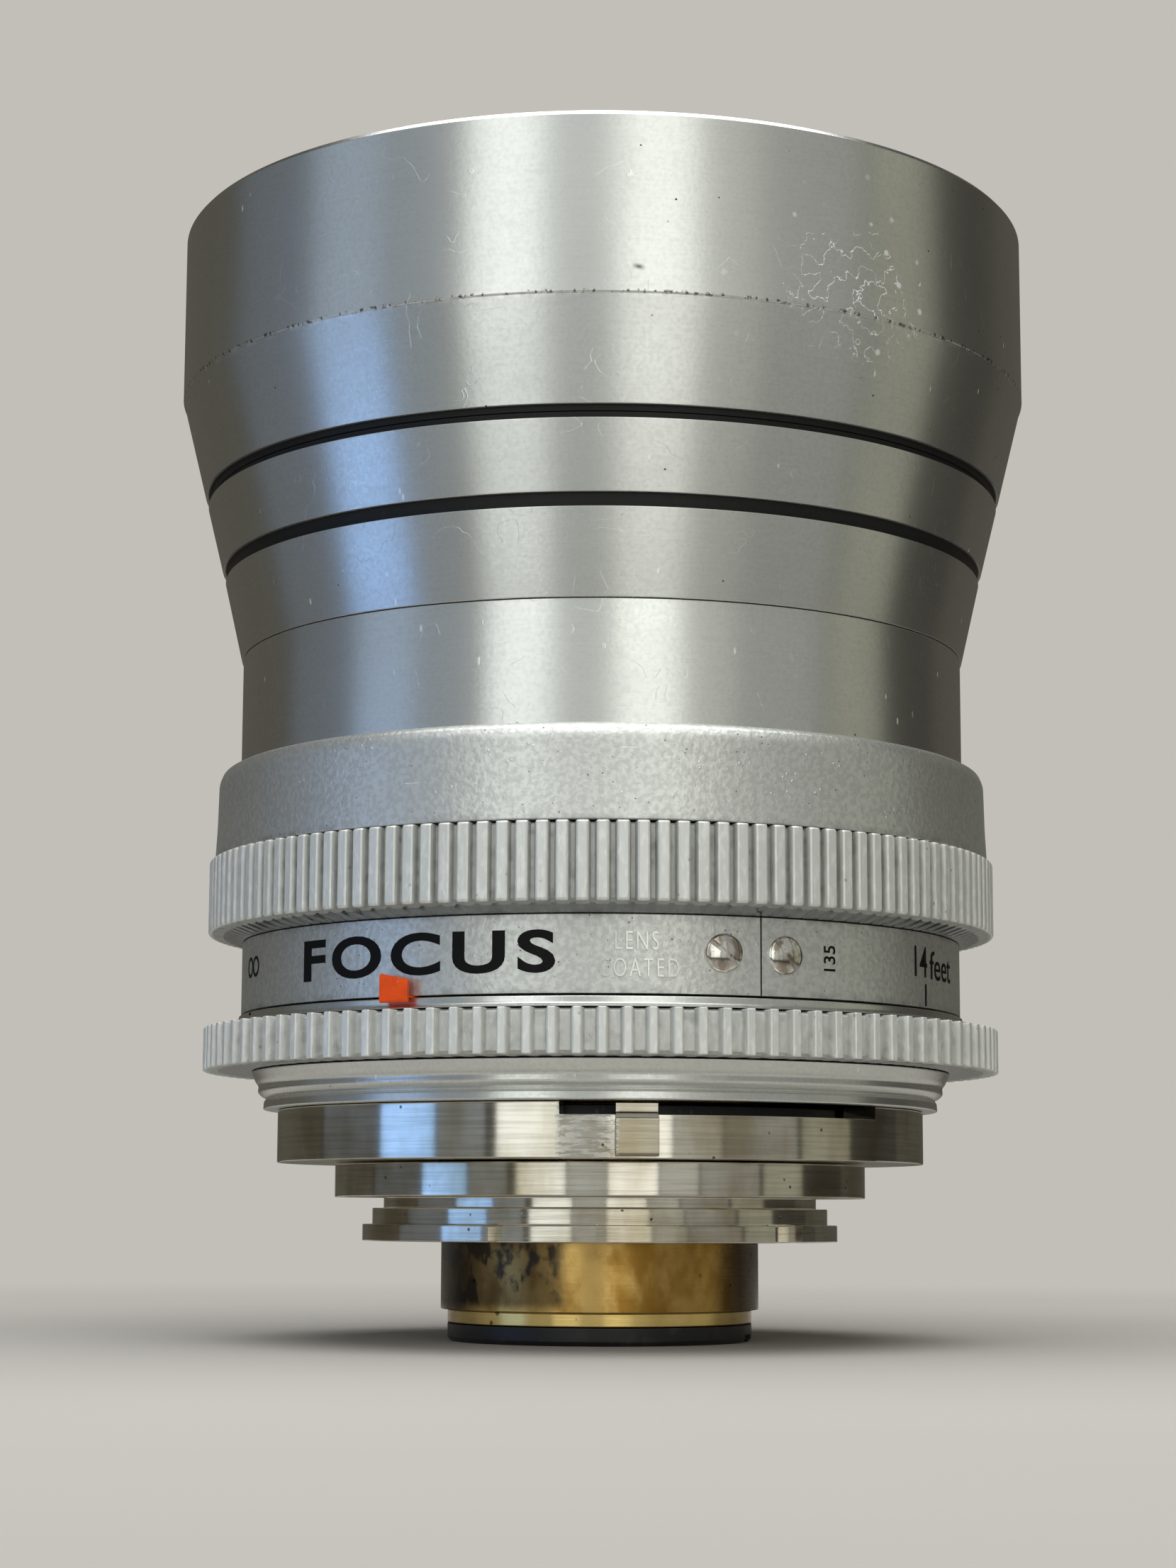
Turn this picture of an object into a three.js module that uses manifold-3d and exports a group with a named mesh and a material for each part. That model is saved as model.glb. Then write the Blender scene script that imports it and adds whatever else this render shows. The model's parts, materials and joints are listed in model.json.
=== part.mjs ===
// Telephoto interchangeable lens with a bayonet mount, in satin aluminium, steel and brass.
// Millimetres. +Z runs along the optical axis towards the front; the origin is the centre of the
// rear retaining ring's end face. Angles are in degrees from -Y, positive towards +X.
import * as THREE from 'three';
import { mergeVertices } from 'three/addons/utils/BufferGeometryUtils.js';
import Module from 'manifold-3d';

const wasm = await Module();
wasm.setup();

// ---- driving dimensions -------------------------------------------------------------------
const ROUND = 40;              // sides of the outer rings
const INNER_ROUND = 28;        // sides of the rings inside
const GLASS_ROUND = 24;        // sides of every lens element
const GAP = 0.3;               // clearance between pieces that are cut for each other
const SEAM = 0.05;             // seam between stacked rings of one body

const LENGTH = 80;             // rear ring face to front rim
const FRONT_R = 31;            // front barrel
const NECK_R = 26.23;          // sliding neck
const CONE_SLOPE = 0.2455;     // radius gained per millimetre of taper
const CONE_Z = [48.6, 67.7];   // taper, from the neck to the front barrel
const FRONT_JOINT_Z = 60.4;    // joint between the taper barrel and the front barrel
const FRONT_GROOVE = [59.95, 60.8];
const REAR_GROOVE = [54.4, 55.3];
const GROOVE_DEPTH = 0.45;

const SHOULDER_Z = [33.85, 40.3];
const SHOULDER_R = 27.97;
const FOCUS_GRIP_Z = [28.7, 33.8];
const FOCUS_GRIP_R = 28.35;
const FOCUS_GRIP_TEETH = 136;
const BAND_Z = [22.93, 28];
const BAND_R = 25.9;
const BAND_THICKNESS = 0.6;
const BAND_SEAM_ANGLE = 23.4;
const BAND_SCREW_ANGLES = [17.6, 27.3];
const BAND_SCREW_Z = 25.6;
const SCREW_HEAD_R = 1.25;
const SCREW_SHANK_R = 0.65;

const POINTER_ARM_Z = [22.76, 22.88];
const POINTER_FLAG_Z = [22.45, 24.5];
const POINTER_FLAG_R = [26.45, 26.7];
const POINTER_HALF_ANGLE = 2.35;
const POINTER_SHOE_HALF_ANGLE = 7;
const INDEX_ANGLE = -69.3;     // fixed focus index
const POINTER_OFFSET = 38.7;   // each pointer's rest angle from the index

const INDEX_RING_Z = [21.95, 22.72];
const MOUNT_GRIP_Z = [18.9, 21.9];
const MOUNT_GRIP_R = 28.55;
const MOUNT_GRIP_TEETH = 111;
const KNURL_DEPTH = 0.6;
const COLLAR_Z = [16.2, 18.5];
const MOUNT_RING_Z = [12.47, 16.15];
const MOUNT_RING_R = 23.15;
const SLOT_ANGLES = [-6.8, 53.2];
const SLOT_FLOOR_Z = 15.3;
const LUG_ANGLES = [2.2, 9];  // coupling lug at rest
const LUG_R = [23.35, 23.75];    // its tab, outside the mount ring
const LUG_FOOT_Z = 12.6;
const REGISTER_Z = [10.05, 12.36];
const REGISTER_R = [17.2, 19];
const BAYONET_Z = [7, 12.3];
const BAYONET_FLANGE_R = 17.1;
const BAYONET_FLANGE_Z = 10.05;
const BAYONET_NECK_R = 15.5;
const BAYONET_COLLAR_R = 16.3;
const BAYONET_COLLAR_Z = [8.16, 9.3];
const BAYONET_LUG_R = 17;
const BAYONET_LUGS = [[-100, -26.3], [-1.1, 44.2], [54.6, 135], [150, 225]];
const MOUNT_BORE_R = 12;
const MOUNT_SCREW_ANGLES = [-52, 38, 128, 218];

const TUBE_R = 11.35;
const TUBE_END_R = 10.85;
const TUBE_BORE_R = 9.6;
const TUBE_Z = [1.3, 17.2];

const CORE_R = [21.3, 22.7];   // fixed core tube
const CORE_Z = [16.25, 33];
const SLEEVE_R = [23, 24.6];   // focusing sleeve
const SKIRT_R = 25.15;         // the sleeve's skirt under the scale band
const BARREL_R = [19.5, 21];   // straight-guided inner barrel
const BARREL_Z = [17.25, 48];
const FRONT_CELL_R = [20.6, 23];
const FRONT_CELL_Z = [48.7, 69.5];

const FOCUS_TRAVEL = 4.4;      // forward travel of the barrel at the nearest distance
const KEY_Z = [24, 29];
const KEY_WIDTH = 3;

const BLADES = 5;
const BLADE_THICKNESS = 0.2;
const BLADE_PITCH = 0.45;      // height from one blade's layer to the next
const BLADE_BAND_R = [9.2, 12.8];
const BLADE_PIVOT_R = 14.2;
const BLADE_EAR_R = 15.5;       // outside of the ear round the blade's pin
const BLADE_SPAN = [-7, 122];
const BLADE_RATIO = 0.65;      // blade swing for each degree of the aperture ring
const APERTURE_OPEN = 43;      // aperture ring angle at full aperture
const IRIS_FLOOR_Z = 18.3;

// ---- materials ------------------------------------------------------------------------------
const metal = (color, roughness, metalness = 1) =>
  new THREE.MeshStandardMaterial({ color, roughness, metalness });
const satinAluminium = metal(0xb9bdbc, 0.42);
const blastedAluminium = metal(0xc3c6c4, 0.6);
const knurledAluminium = metal(0xc6c8c6, 0.35);
const steel = metal(0xa39f98, 0.3);
const brass = metal(0xb08a4a, 0.35);
const blackPaint = metal(0x151515, 0.6, 0);
const blackenedSteel = metal(0x1d1d20, 0.4);
const orangePaint = metal(0xd8451c, 0.5, 0);
const glass = new THREE.MeshStandardMaterial({
  color: 0xaab8d8, roughness: 0.05, metalness: 0, transparent: true, opacity: 0.35,
});

// ---- geometry helpers -----------------------------------------------------------------------
const radians = (degrees) => (degrees * Math.PI) / 180;
const at = (r, angle) => [r * Math.sin(radians(angle)), -r * Math.cos(radians(angle))];

// A closed outline of [radius, height] points, outer wall upwards, turned about the axis.
function turned(outline, sides = ROUND) {
  const points = outline.map(([r, z]) => new THREE.Vector2(r, z));
  const onAxis = outline[0][0] === 0 && outline[outline.length - 1][0] === 0;
  if (!onAxis) points.push(points[0].clone());
  return new THREE.LatheGeometry(points, sides).rotateX(Math.PI / 2);
}

function plainRing([inner, outer], [low, high], sides = ROUND) {
  return turned([[inner, low], [outer, low], [outer, high], [inner, high]], sides);
}

function extruded(points, [low, high], holes = []) {
  const shape = new THREE.Shape(points.map(([x, y]) => new THREE.Vector2(x, y)));
  for (const hole of holes) {
    shape.holes.push(new THREE.Path(hole.map(([x, y]) => new THREE.Vector2(x, y))));
  }
  const depth = high - low;
  return new THREE.ExtrudeGeometry(shape, { depth, bevelEnabled: false }).translate(0, 0, low);
}

const arc = (r, from, to, steps) =>
  Array.from({ length: steps + 1 }, (_, i) => at(r, from + ((to - from) * i) / steps));

const circle = (r, sides) => arc(r, 0, 360, sides).slice(0, sides);

function sector([inner, outer], [from, to], heights) {
  const steps = Math.max(2, Math.ceil((to - from) / 7.5));
  return extruded([...arc(outer, from, to, steps), ...arc(inner, to, from, steps)], heights);
}

function knurled(inner, outer, teeth, heights) {
  const rim = Array.from({ length: 2 * teeth }, (_, i) =>
    at(i % 2 ? outer - KNURL_DEPTH : outer, (i * 180) / teeth));
  return extruded(rim, heights, [circle(inner, ROUND)]);
}

// A rod along the radius at an angle and height, from one radius to another.
function radialRod(r, from, to, angle, z, sides = 12) {
  const rod = new THREE.CylinderGeometry(r, r, to - from, sides);
  const [x, y] = at((from + to) / 2, angle);
  return rod.rotateZ(radians(angle)).translate(x, y, z);
}

function verticalRod(r, [low, high], [x, y], sides = 10) {
  return new THREE.CylinderGeometry(r, r, high - low, sides)
    .rotateX(Math.PI / 2).translate(x, y, (low + high) / 2);
}

function solid(geometry) {
  const plain = geometry.clone();
  plain.deleteAttribute('normal');
  plain.deleteAttribute('uv');
  const merged = mergeVertices(plain, 1e-5);
  const vertProperties = new Float32Array(merged.attributes.position.array);
  const triVerts = new Uint32Array(merged.index.array);
  return new wasm.Manifold(new wasm.Mesh({ numProp: 3, vertProperties, triVerts }));
}

function geometryOf(body) {
  const { vertProperties, triVerts } = body.getMesh();
  const geometry = new THREE.BufferGeometry();
  geometry.setAttribute('position', new THREE.BufferAttribute(new Float32Array(vertProperties), 3));
  geometry.setIndex(new THREE.BufferAttribute(new Uint32Array(triVerts), 1));
  geometry.computeVertexNormals();
  return geometry;
}

const joined = (first, ...others) =>
  geometryOf(others.reduce((body, other) => body.add(solid(other)), solid(first)));
const cut = (first, ...others) =>
  geometryOf(others.reduce((body, other) => body.subtract(solid(other)), solid(first)));

// A lens element: front and rear radii of curvature (0 for flat, positive bulging outwards),
// edge radius, and the heights of its edge.
function element(frontCurve, rearCurve, edge, [low, high]) {
  const STEPS = 3;
  const bulge = (curve, r) => (curve === 0 ? 0
    : Math.sign(curve) * (Math.sqrt(curve * curve - r * r) - Math.sqrt(curve * curve - edge * edge)));
  const rear = [];
  const front = [];
  for (let i = 0; i <= STEPS; i += 1) {
    const r = (edge * i) / STEPS;
    rear.push([r, low - bulge(rearCurve, r)]);
    front.unshift([r, high + bulge(frontCurve, r)]);
  }
  return turned([...rear, ...front], GLASS_ROUND);
}

const lens = new THREE.Group();
function add(parent, name, geometry, material) {
  const mesh = new THREE.Mesh(geometry, material);
  mesh.name = name;
  parent.add(mesh);
}
function body() {
  const group = new THREE.Group();
  lens.add(group);
  return group;
}

// ---- mount: everything that stays fixed to the camera ---------------------------------------
function addMount() {
  const mount = body();
  const [bayonetLow, bayonetHigh] = BAYONET_Z;
  const bayonetBase = turned([
    [MOUNT_BORE_R, bayonetLow], [BAYONET_NECK_R, bayonetLow], [BAYONET_NECK_R, BAYONET_FLANGE_Z],
    [BAYONET_FLANGE_R, BAYONET_FLANGE_Z], [BAYONET_FLANGE_R, bayonetHigh],
    [MOUNT_BORE_R, bayonetHigh],
  ]);
  const collar = plainRing([BAYONET_NECK_R - 0.6, BAYONET_COLLAR_R], BAYONET_COLLAR_Z);
  const lugs = BAYONET_LUGS.map((angles) =>
    sector([BAYONET_NECK_R - 0.6, BAYONET_LUG_R], angles, [bayonetLow, BAYONET_COLLAR_Z[0]]));
  const screwHoles = MOUNT_SCREW_ANGLES.map((angle) =>
    verticalRod(1.05 + GAP, [bayonetLow - 1, bayonetLow + 1.2], at(13.8, angle)));
  const shankHoles = MOUNT_SCREW_ANGLES.map((angle) =>
    verticalRod(0.6 + GAP, [bayonetLow, bayonetHigh + 1], at(13.8, angle)));
  const bayonet = solid(joined(bayonetBase, collar, ...lugs));
  const drilled = [...screwHoles, ...shankHoles].reduce(
    (rest, hole) => rest.subtract(solid(hole)), bayonet);
  add(mount, 'bayonet_ring', geometryOf(drilled), steel);
  MOUNT_SCREW_ANGLES.forEach((angle, i) => {
    const place = at(13.8, angle);
    const head = verticalRod(1.05, [bayonetLow + 0.1, bayonetLow + 0.9], place);
    const shank = verticalRod(0.6, [bayonetLow + 0.8, bayonetHigh], place);
    add(mount, `mount_screw_${i + 1}`, joined(head, shank), steel);
  });

  add(mount, 'register_ring', plainRing(REGISTER_R, REGISTER_Z), steel);

  const [ringLow, ringHigh] = MOUNT_RING_Z;
  const shell = turned([
    [14, ringLow], [MOUNT_RING_R, ringLow], [MOUNT_RING_R, ringHigh], [20.6, ringHigh],
    [20.6, ringLow + 1.1], [14, ringLow + 1.1],
  ]);
  const slot = sector([20, MOUNT_RING_R + 1], SLOT_ANGLES, [SLOT_FLOOR_Z, ringHigh + 1]);
  add(mount, 'mount_ring', cut(shell, slot), steel);

  const [collarLow, collarHigh] = COLLAR_Z;
  add(mount, 'rear_collar', turned([
    [22.9, collarLow], [24.2, collarLow], [24, 16.9], [24.6, 17.3], [24.5, 17.8],
    [25, collarHigh], [22.9, collarHigh],
  ]), satinAluminium);
  add(mount, 'mount_grip', knurled(22.9, MOUNT_GRIP_R, MOUNT_GRIP_TEETH, MOUNT_GRIP_Z),
    knurledAluminium);
  const [indexLow, indexHigh] = INDEX_RING_Z;
  add(mount, 'index_ring', turned([
    [22.9, indexLow], [27.85, indexLow], [26.15, indexLow + 0.2], [26.05, indexHigh],
    [22.9, indexHigh],
  ]), satinAluminium);
  add(mount, 'core_tube', plainRing(CORE_R, CORE_Z, INNER_ROUND), brass);

  // The key sits against the core tube's bore and runs in the barrel's slot.
  const key = new THREE.BoxGeometry(KEY_WIDTH, 1.3, KEY_Z[1] - KEY_Z[0]);
  key.translate(0, 20.35, (KEY_Z[0] + KEY_Z[1]) / 2);
  add(mount, 'guide_key', key, brass);
}

// ---- focusing group: turns about the axis ----------------------------------------------------
function addFocus() {
  const focus = body();
  const [bandLow, bandHigh] = BAND_Z;
  const shankHole = (angle) =>
    radialRod(SCREW_SHANK_R + GAP, SLEEVE_R[0] + 0.6, BAND_R + 1, angle, BAND_SCREW_Z);
  const sleeve = turned([
    [SLEEVE_R[0], bandLow + 0.1], [SKIRT_R, bandLow + 0.1], [SKIRT_R, bandHigh],
    [SLEEVE_R[1], bandHigh], [SLEEVE_R[1], 33.6], [SLEEVE_R[0], 33.6],
  ], INNER_ROUND);
  add(focus, 'focus_sleeve', cut(sleeve, ...BAND_SCREW_ANGLES.map(shankHole)), brass);

  const [gripLow, gripHigh] = FOCUS_GRIP_Z;
  const underside = turned([
    [24.8, bandHigh + SEAM], [BAND_R, bandHigh + SEAM], [27.6, gripLow],
    [27.6, gripLow + 0.3], [24.8, gripLow + 0.3],
  ]);
  const grip = knurled(24.8, FOCUS_GRIP_R, FOCUS_GRIP_TEETH, [gripLow, gripHigh]);
  add(focus, 'focus_grip', joined(grip, underside), knurledAluminium);

  const [shoulderLow, shoulderHigh] = SHOULDER_Z;
  add(focus, 'shoulder_ring', turned([
    [26.55, shoulderLow], [SHOULDER_R, shoulderLow], [27.84, 36.3], [27.77, 39.4],
    [27.5, 40.05], [27, shoulderHigh], [26.55, shoulderHigh],
  ]), blastedAluminium);

  const bandBore = BAND_R - BAND_THICKNESS;
  const seam = sector([bandBore - 1, BAND_R + 1],
    [BAND_SEAM_ANGLE - 0.35, BAND_SEAM_ANGLE + 0.35], [bandLow - 1, bandHigh + 1]);
  const band = plainRing([bandBore, BAND_R], BAND_Z);
  add(focus, 'scale_band', cut(band, seam, ...BAND_SCREW_ANGLES.map(shankHole)), blastedAluminium);

  BAND_SCREW_ANGLES.forEach((angle, i) => {
    const head = radialRod(SCREW_HEAD_R, BAND_R + 0.04, BAND_R + 0.45, angle, BAND_SCREW_Z);
    const shank = radialRod(SCREW_SHANK_R, SLEEVE_R[0] + 0.9, BAND_R + 0.1, angle, BAND_SCREW_Z);
    add(focus, `band_screw_${i + 1}`, joined(head, shank), steel);
  });
}

// ---- aperture group: the coupling ring and the two depth pointers -----------------------------
function addAperture() {
  const aperture = body();
  const [, ringHigh] = MOUNT_RING_Z;
  const ring = plainRing([18.4, 20.2], [MOUNT_RING_Z[0] + 1.4, ringHigh - 0.1], INNER_ROUND);
  const neck = sector([19.5, LUG_R[1] - 0.1], LUG_ANGLES, [SLOT_FLOOR_Z + 0.1, ringHigh - 0.1]);
  const tab = sector(LUG_R, LUG_ANGLES, [LUG_FOOT_Z, ringHigh - 0.15]);
  add(aperture, 'aperture_ring', joined(ring, neck, tab), steel);

  for (const [name, side] of [['pointer_near', 1], ['pointer_far', -1]]) {
    const centre = INDEX_ANGLE + side * POINTER_OFFSET;
    const spread = (half) => [centre - half, centre + half];
    const shoe = sector([23.2, 24.8], spread(POINTER_SHOE_HALF_ANGLE), POINTER_ARM_Z);
    const arm = sector([24, POINTER_FLAG_R[1] - 0.1], spread(POINTER_HALF_ANGLE), POINTER_ARM_Z);
    const flag = sector(POINTER_FLAG_R, spread(POINTER_HALF_ANGLE), POINTER_FLAG_Z);
    add(body(), name, joined(shoe, arm, flag), orangePaint);
  }
}

// ---- barrel: slides along the axis and carries the optics -------------------------------------
function addBarrel() {
  const barrel = body();
  const cone = (z) => NECK_R + CONE_SLOPE * (z - CONE_Z[0]);
  add(barrel, 'front_barrel', turned([
    [27.6, FRONT_JOINT_Z + SEAM], [cone(FRONT_GROOVE[1]) - GROOVE_DEPTH, FRONT_JOINT_Z + SEAM],
    [cone(FRONT_GROOVE[1]) - GROOVE_DEPTH, FRONT_GROOVE[1]], [cone(FRONT_GROOVE[1]), FRONT_GROOVE[1]],
    [cone(CONE_Z[1]), CONE_Z[1]], [FRONT_R, CONE_Z[1] + 0.2], [FRONT_R, LENGTH - 0.2],
    [FRONT_R - 0.2, LENGTH], [29.4, LENGTH], [29, LENGTH - 0.5], [29, 73], [27.6, 73],
  ]), satinAluminium);
  const taperTop = FRONT_GROOVE[0];
  add(barrel, 'taper_barrel', turned([
    [24.2, CONE_Z[0] + SEAM], [cone(CONE_Z[0]), CONE_Z[0] + SEAM],
    [cone(REAR_GROOVE[0]), REAR_GROOVE[0]], [cone(REAR_GROOVE[0]) - GROOVE_DEPTH, REAR_GROOVE[0]],
    [cone(REAR_GROOVE[0]) - GROOVE_DEPTH, REAR_GROOVE[1]], [cone(REAR_GROOVE[1]), REAR_GROOVE[1]],
    [cone(taperTop), taperTop], [cone(taperTop) - GROOVE_DEPTH, taperTop],
    [cone(taperTop) - GROOVE_DEPTH, FRONT_JOINT_Z], [24.2, FRONT_JOINT_Z],
  ]), satinAluminium);
  add(barrel, 'neck_tube', turned([
    [24.9, 34.2], [NECK_R, 34.2], [NECK_R, CONE_Z[0]], [21.2, CONE_Z[0]], [21.2, 44], [24.9, 44],
  ]), satinAluminium);

  const tube = plainRing(BARREL_R, BARREL_Z, INNER_ROUND);
  const keyway = new THREE.BoxGeometry(
    KEY_WIDTH + 2 * GAP, 4, KEY_Z[1] - KEY_Z[0] + FOCUS_TRAVEL + 2 * GAP);
  keyway.translate(0, 20.25, (KEY_Z[0] + KEY_Z[1] - FOCUS_TRAVEL) / 2);
  add(barrel, 'inner_barrel', cut(tube, keyway), blackPaint);

  add(barrel, 'front_baffle', turned([
    [20.9, FRONT_CELL_Z[1] + SEAM], [24, FRONT_CELL_Z[1] + SEAM], [27.4, 72.2],
    [27.4, 73 + SEAM], [28.8, 73 + SEAM], [28.8, 74], [28, 74], [20.9, 70.4],
  ]), blackPaint);
  add(barrel, 'front_cell', turned([
    [19.4, FRONT_CELL_Z[0]], [FRONT_CELL_R[1], FRONT_CELL_Z[0]], [FRONT_CELL_R[1], FRONT_CELL_Z[1]],
    [FRONT_CELL_R[0], FRONT_CELL_Z[1]], [FRONT_CELL_R[0], 61], [19.4, 61],
  ], INNER_ROUND), blackPaint);
  add(barrel, 'front_retaining_ring', turned([
    [18.6, 67.3], [20.4, 67.3], [20.4, 69.3], [19.2, 69.3],
  ], INNER_ROUND), blackPaint);
  add(barrel, 'front_lens', element(42, 160, 20.3, [62.4, 65.2]), glass);
  add(barrel, 'spacer_ring', plainRing([17.6, 19], [58.2, 61.2], GLASS_ROUND), blackPaint);
  add(barrel, 'crown_lens', element(48, 62, 19, [53.4, 56.2]), glass);
  add(barrel, 'flint_lens', element(-62.2, -300, 19, [48.8, 53.2]), glass);

  add(barrel, 'rear_tube', turned([
    [TUBE_BORE_R, TUBE_Z[0]], [TUBE_END_R, TUBE_Z[0]], [TUBE_END_R, 2.2], [TUBE_R, 2.2],
    [TUBE_R, 16.4], [15, 16.4], [15, TUBE_Z[1]], [TUBE_BORE_R, TUBE_Z[1]],
  ], INNER_ROUND), brass);
  add(barrel, 'rear_retaining_ring', turned([
    [8.2, 0], [TUBE_END_R - 0.25, 0], [TUBE_END_R, 0.25], [TUBE_END_R, TUBE_Z[0] - SEAM],
    [8, TUBE_Z[0] - SEAM],
  ], INNER_ROUND), blackPaint);
  add(barrel, 'rear_lens', element(-24, 40, 9.3, [3.2, 5.2]), glass);
  add(barrel, 'rear_spacer', plainRing([8.2, 9.3], [5.5, 9.4], GLASS_ROUND), blackPaint);
  add(barrel, 'inner_lens', element(30, -22, 9.3, [9.6, 11.2]), glass);

  const plate = plainRing([9.3, 19.2], [TUBE_Z[1] + SEAM, IRIS_FLOOR_Z], INNER_ROUND);
  const pins = Array.from({ length: BLADES }, (_, k) => verticalRod(
    0.5, [IRIS_FLOOR_Z - 0.3, IRIS_FLOOR_Z + BLADES * BLADE_PITCH + 0.3],
    at(BLADE_PIVOT_R, (k * 360) / BLADES)));
  add(barrel, 'iris_plate', joined(plate, ...pins), blackPaint);
}

// ---- iris: five blades in layers, each on its own pin, under the driving ring -----------------
function addIris() {
  const driveLow = IRIS_FLOOR_Z + BLADES * BLADE_PITCH + 0.6;
  add(body(), 'iris_drive_ring', plainRing([9.6, 16], [driveLow, driveLow + 0.8], INNER_ROUND), blackenedSteel);

  const swing = BLADE_RATIO * APERTURE_OPEN;
  const steps = 10;
  const outline = [...arc(BLADE_EAR_R, BLADE_SPAN[0], -BLADE_SPAN[0], 3),
    ...arc(BLADE_BAND_R[1], -BLADE_SPAN[0], BLADE_SPAN[1], steps),
    ...arc(BLADE_BAND_R[0], BLADE_SPAN[1], BLADE_SPAN[0], steps)];
  for (let k = 0; k < BLADES; k += 1) {
    const low = IRIS_FLOOR_Z + 0.3 + k * BLADE_PITCH;
    const hole = arc(0.8, 0, 360, 10).slice(0, 10).map(([x, y]) => [x, y - BLADE_PIVOT_R]);
    const blade = extruded(outline, [0, BLADE_THICKNESS], [hole]);
    // Swung inwards about its pin from full aperture, then placed round the axis.
    blade.translate(0, BLADE_PIVOT_R, 0).rotateZ(radians(swing)).translate(0, -BLADE_PIVOT_R, low);
    blade.rotateZ(radians((k * 360) / BLADES));
    add(body(), `iris_blade_${k + 1}`, blade, blackenedSteel);
  }
}

addMount();
addFocus();
addAperture();
addBarrel();
addIris();

export default lens;
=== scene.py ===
import json
import math

import bmesh
import bpy
import numpy as np
from mathutils import Matrix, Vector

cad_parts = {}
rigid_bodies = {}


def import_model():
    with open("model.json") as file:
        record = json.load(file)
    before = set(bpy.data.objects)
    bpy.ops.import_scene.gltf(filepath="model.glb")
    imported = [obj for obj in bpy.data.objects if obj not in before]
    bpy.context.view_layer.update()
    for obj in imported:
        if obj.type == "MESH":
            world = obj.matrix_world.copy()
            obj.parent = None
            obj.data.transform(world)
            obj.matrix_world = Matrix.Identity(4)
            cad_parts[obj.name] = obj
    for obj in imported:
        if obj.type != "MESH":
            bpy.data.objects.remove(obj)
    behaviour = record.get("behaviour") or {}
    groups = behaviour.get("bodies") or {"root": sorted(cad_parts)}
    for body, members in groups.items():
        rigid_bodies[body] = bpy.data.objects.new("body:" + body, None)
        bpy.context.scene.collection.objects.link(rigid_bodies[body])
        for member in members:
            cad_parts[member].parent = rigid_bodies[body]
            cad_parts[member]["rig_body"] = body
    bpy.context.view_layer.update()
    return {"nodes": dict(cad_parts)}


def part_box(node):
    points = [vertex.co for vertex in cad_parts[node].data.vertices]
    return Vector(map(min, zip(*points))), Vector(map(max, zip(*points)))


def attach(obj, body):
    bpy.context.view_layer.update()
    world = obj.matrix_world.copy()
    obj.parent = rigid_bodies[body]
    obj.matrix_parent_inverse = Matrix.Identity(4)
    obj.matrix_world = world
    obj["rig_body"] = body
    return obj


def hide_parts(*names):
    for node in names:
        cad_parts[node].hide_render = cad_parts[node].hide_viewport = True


bl_info = {
    "name": "Portrait lens",
    "version": (1, 0, 0),
    "blender": (4, 5, 0),
    "location": "View3D > Sidebar > Portrait lens",
    "description": "Builds the finished surfaces of a small telephoto portrait lens round its fixed frame",
    "category": "Object",
}

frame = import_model()

MM = 0.001
ROUND = 288        # steps round the large rings
FINE_ROUND = 180   # steps round the rings inside
GLASS_STEPS = 22   # steps from the middle of a lens to its edge
SHARP = 38         # edges that turn by more than this many degrees stay sharp


# ---- shapes: numpy surfaces in millimetres -----------------------------------------------------

def extent(node):
    """(outer radius, lowest z, highest z) of a round CAD node, in millimetres."""
    low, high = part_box(node)
    return -low.y / MM, low.z / MM, high.z / MM


def polar(radius, angle, z):
    """Points at an angle in degrees from the front, -Y, counted towards +X: (r sin a, -r cos a, z)."""
    turn = np.radians(angle)
    return np.stack(np.broadcast_arrays(radius * np.sin(turn), -radius * np.cos(turn), z), axis=-1)


def rounded(corners, radius=0.06, steps=3):
    """A closed outline whose corners are eased: a corner P between A and B becomes the curve
    (1-t)^2 A + 2t(1-t) P + t^2 B, where A and B lie one radius back along its two sides, and a
    point just beyond each keeps the long faces flat. Each corner gives the same number of points."""
    p = np.asarray(corners, float)
    back, ahead = np.roll(p, 1, axis=0) - p, np.roll(p, -1, axis=0) - p
    back_length = np.linalg.norm(back, axis=1, keepdims=True)
    ahead_length = np.linalg.norm(ahead, axis=1, keepdims=True)
    radii = np.broadcast_to(np.asarray(radius, float).reshape(-1, 1), (len(p), 1))
    cut = np.minimum(radii, 0.38 * np.minimum(back_length, ahead_length))
    a, b = p + back / back_length * cut, p + ahead / ahead_length * cut
    t = np.linspace(0, 1, steps + 1)[:, None, None]
    curve = (1 - t) ** 2 * a + 2 * t * (1 - t) * p + t**2 * b
    before, after = p + back / back_length * cut * 1.2, p + ahead / ahead_length * cut * 1.2
    return np.concatenate([before[None], curve, after[None]]).transpose(1, 0, 2).reshape(-1, 2)


def box_corners(inner, outer, low, high):
    return [(inner, low), (outer, low), (outer, high), (inner, high)]


def grid_faces(rows, columns, wrap_rows, wrap_columns):
    """Quads of a grid, as rows of four point numbers; either direction can close on itself."""
    i = np.arange(rows if wrap_rows else rows - 1)[:, None]
    j = np.arange(columns if wrap_columns else columns - 1)[None, :]
    ni, nj = (i + 1) % rows, (j + 1) % columns
    quads = [i * columns + j, ni * columns + j, ni * columns + nj, i * columns + nj]
    return np.stack(np.broadcast_arrays(*quads), axis=-1).reshape(-1, 4)


def swept(sections, angles, closed=True):
    """A closed (r, z) section, one for all angles or one for each, carried round the axis:
    P(a, s) = (r(s) sin a, -r(s) cos a, z(s)). An open sweep gets a flat cap at either end."""
    angles = np.asarray(angles, float)
    sections = np.broadcast_to(sections, (len(angles), *np.shape(sections)[-2:]))
    points = polar(sections[..., 0], angles[:, None], sections[..., 1]).reshape(-1, 3)
    count = sections.shape[1]
    faces = grid_faces(len(angles), count, closed, True).tolist()
    if not closed:
        faces += [list(range(count)), list(range(len(points) - count, len(points)))[::-1]]
    return points, faces


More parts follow.
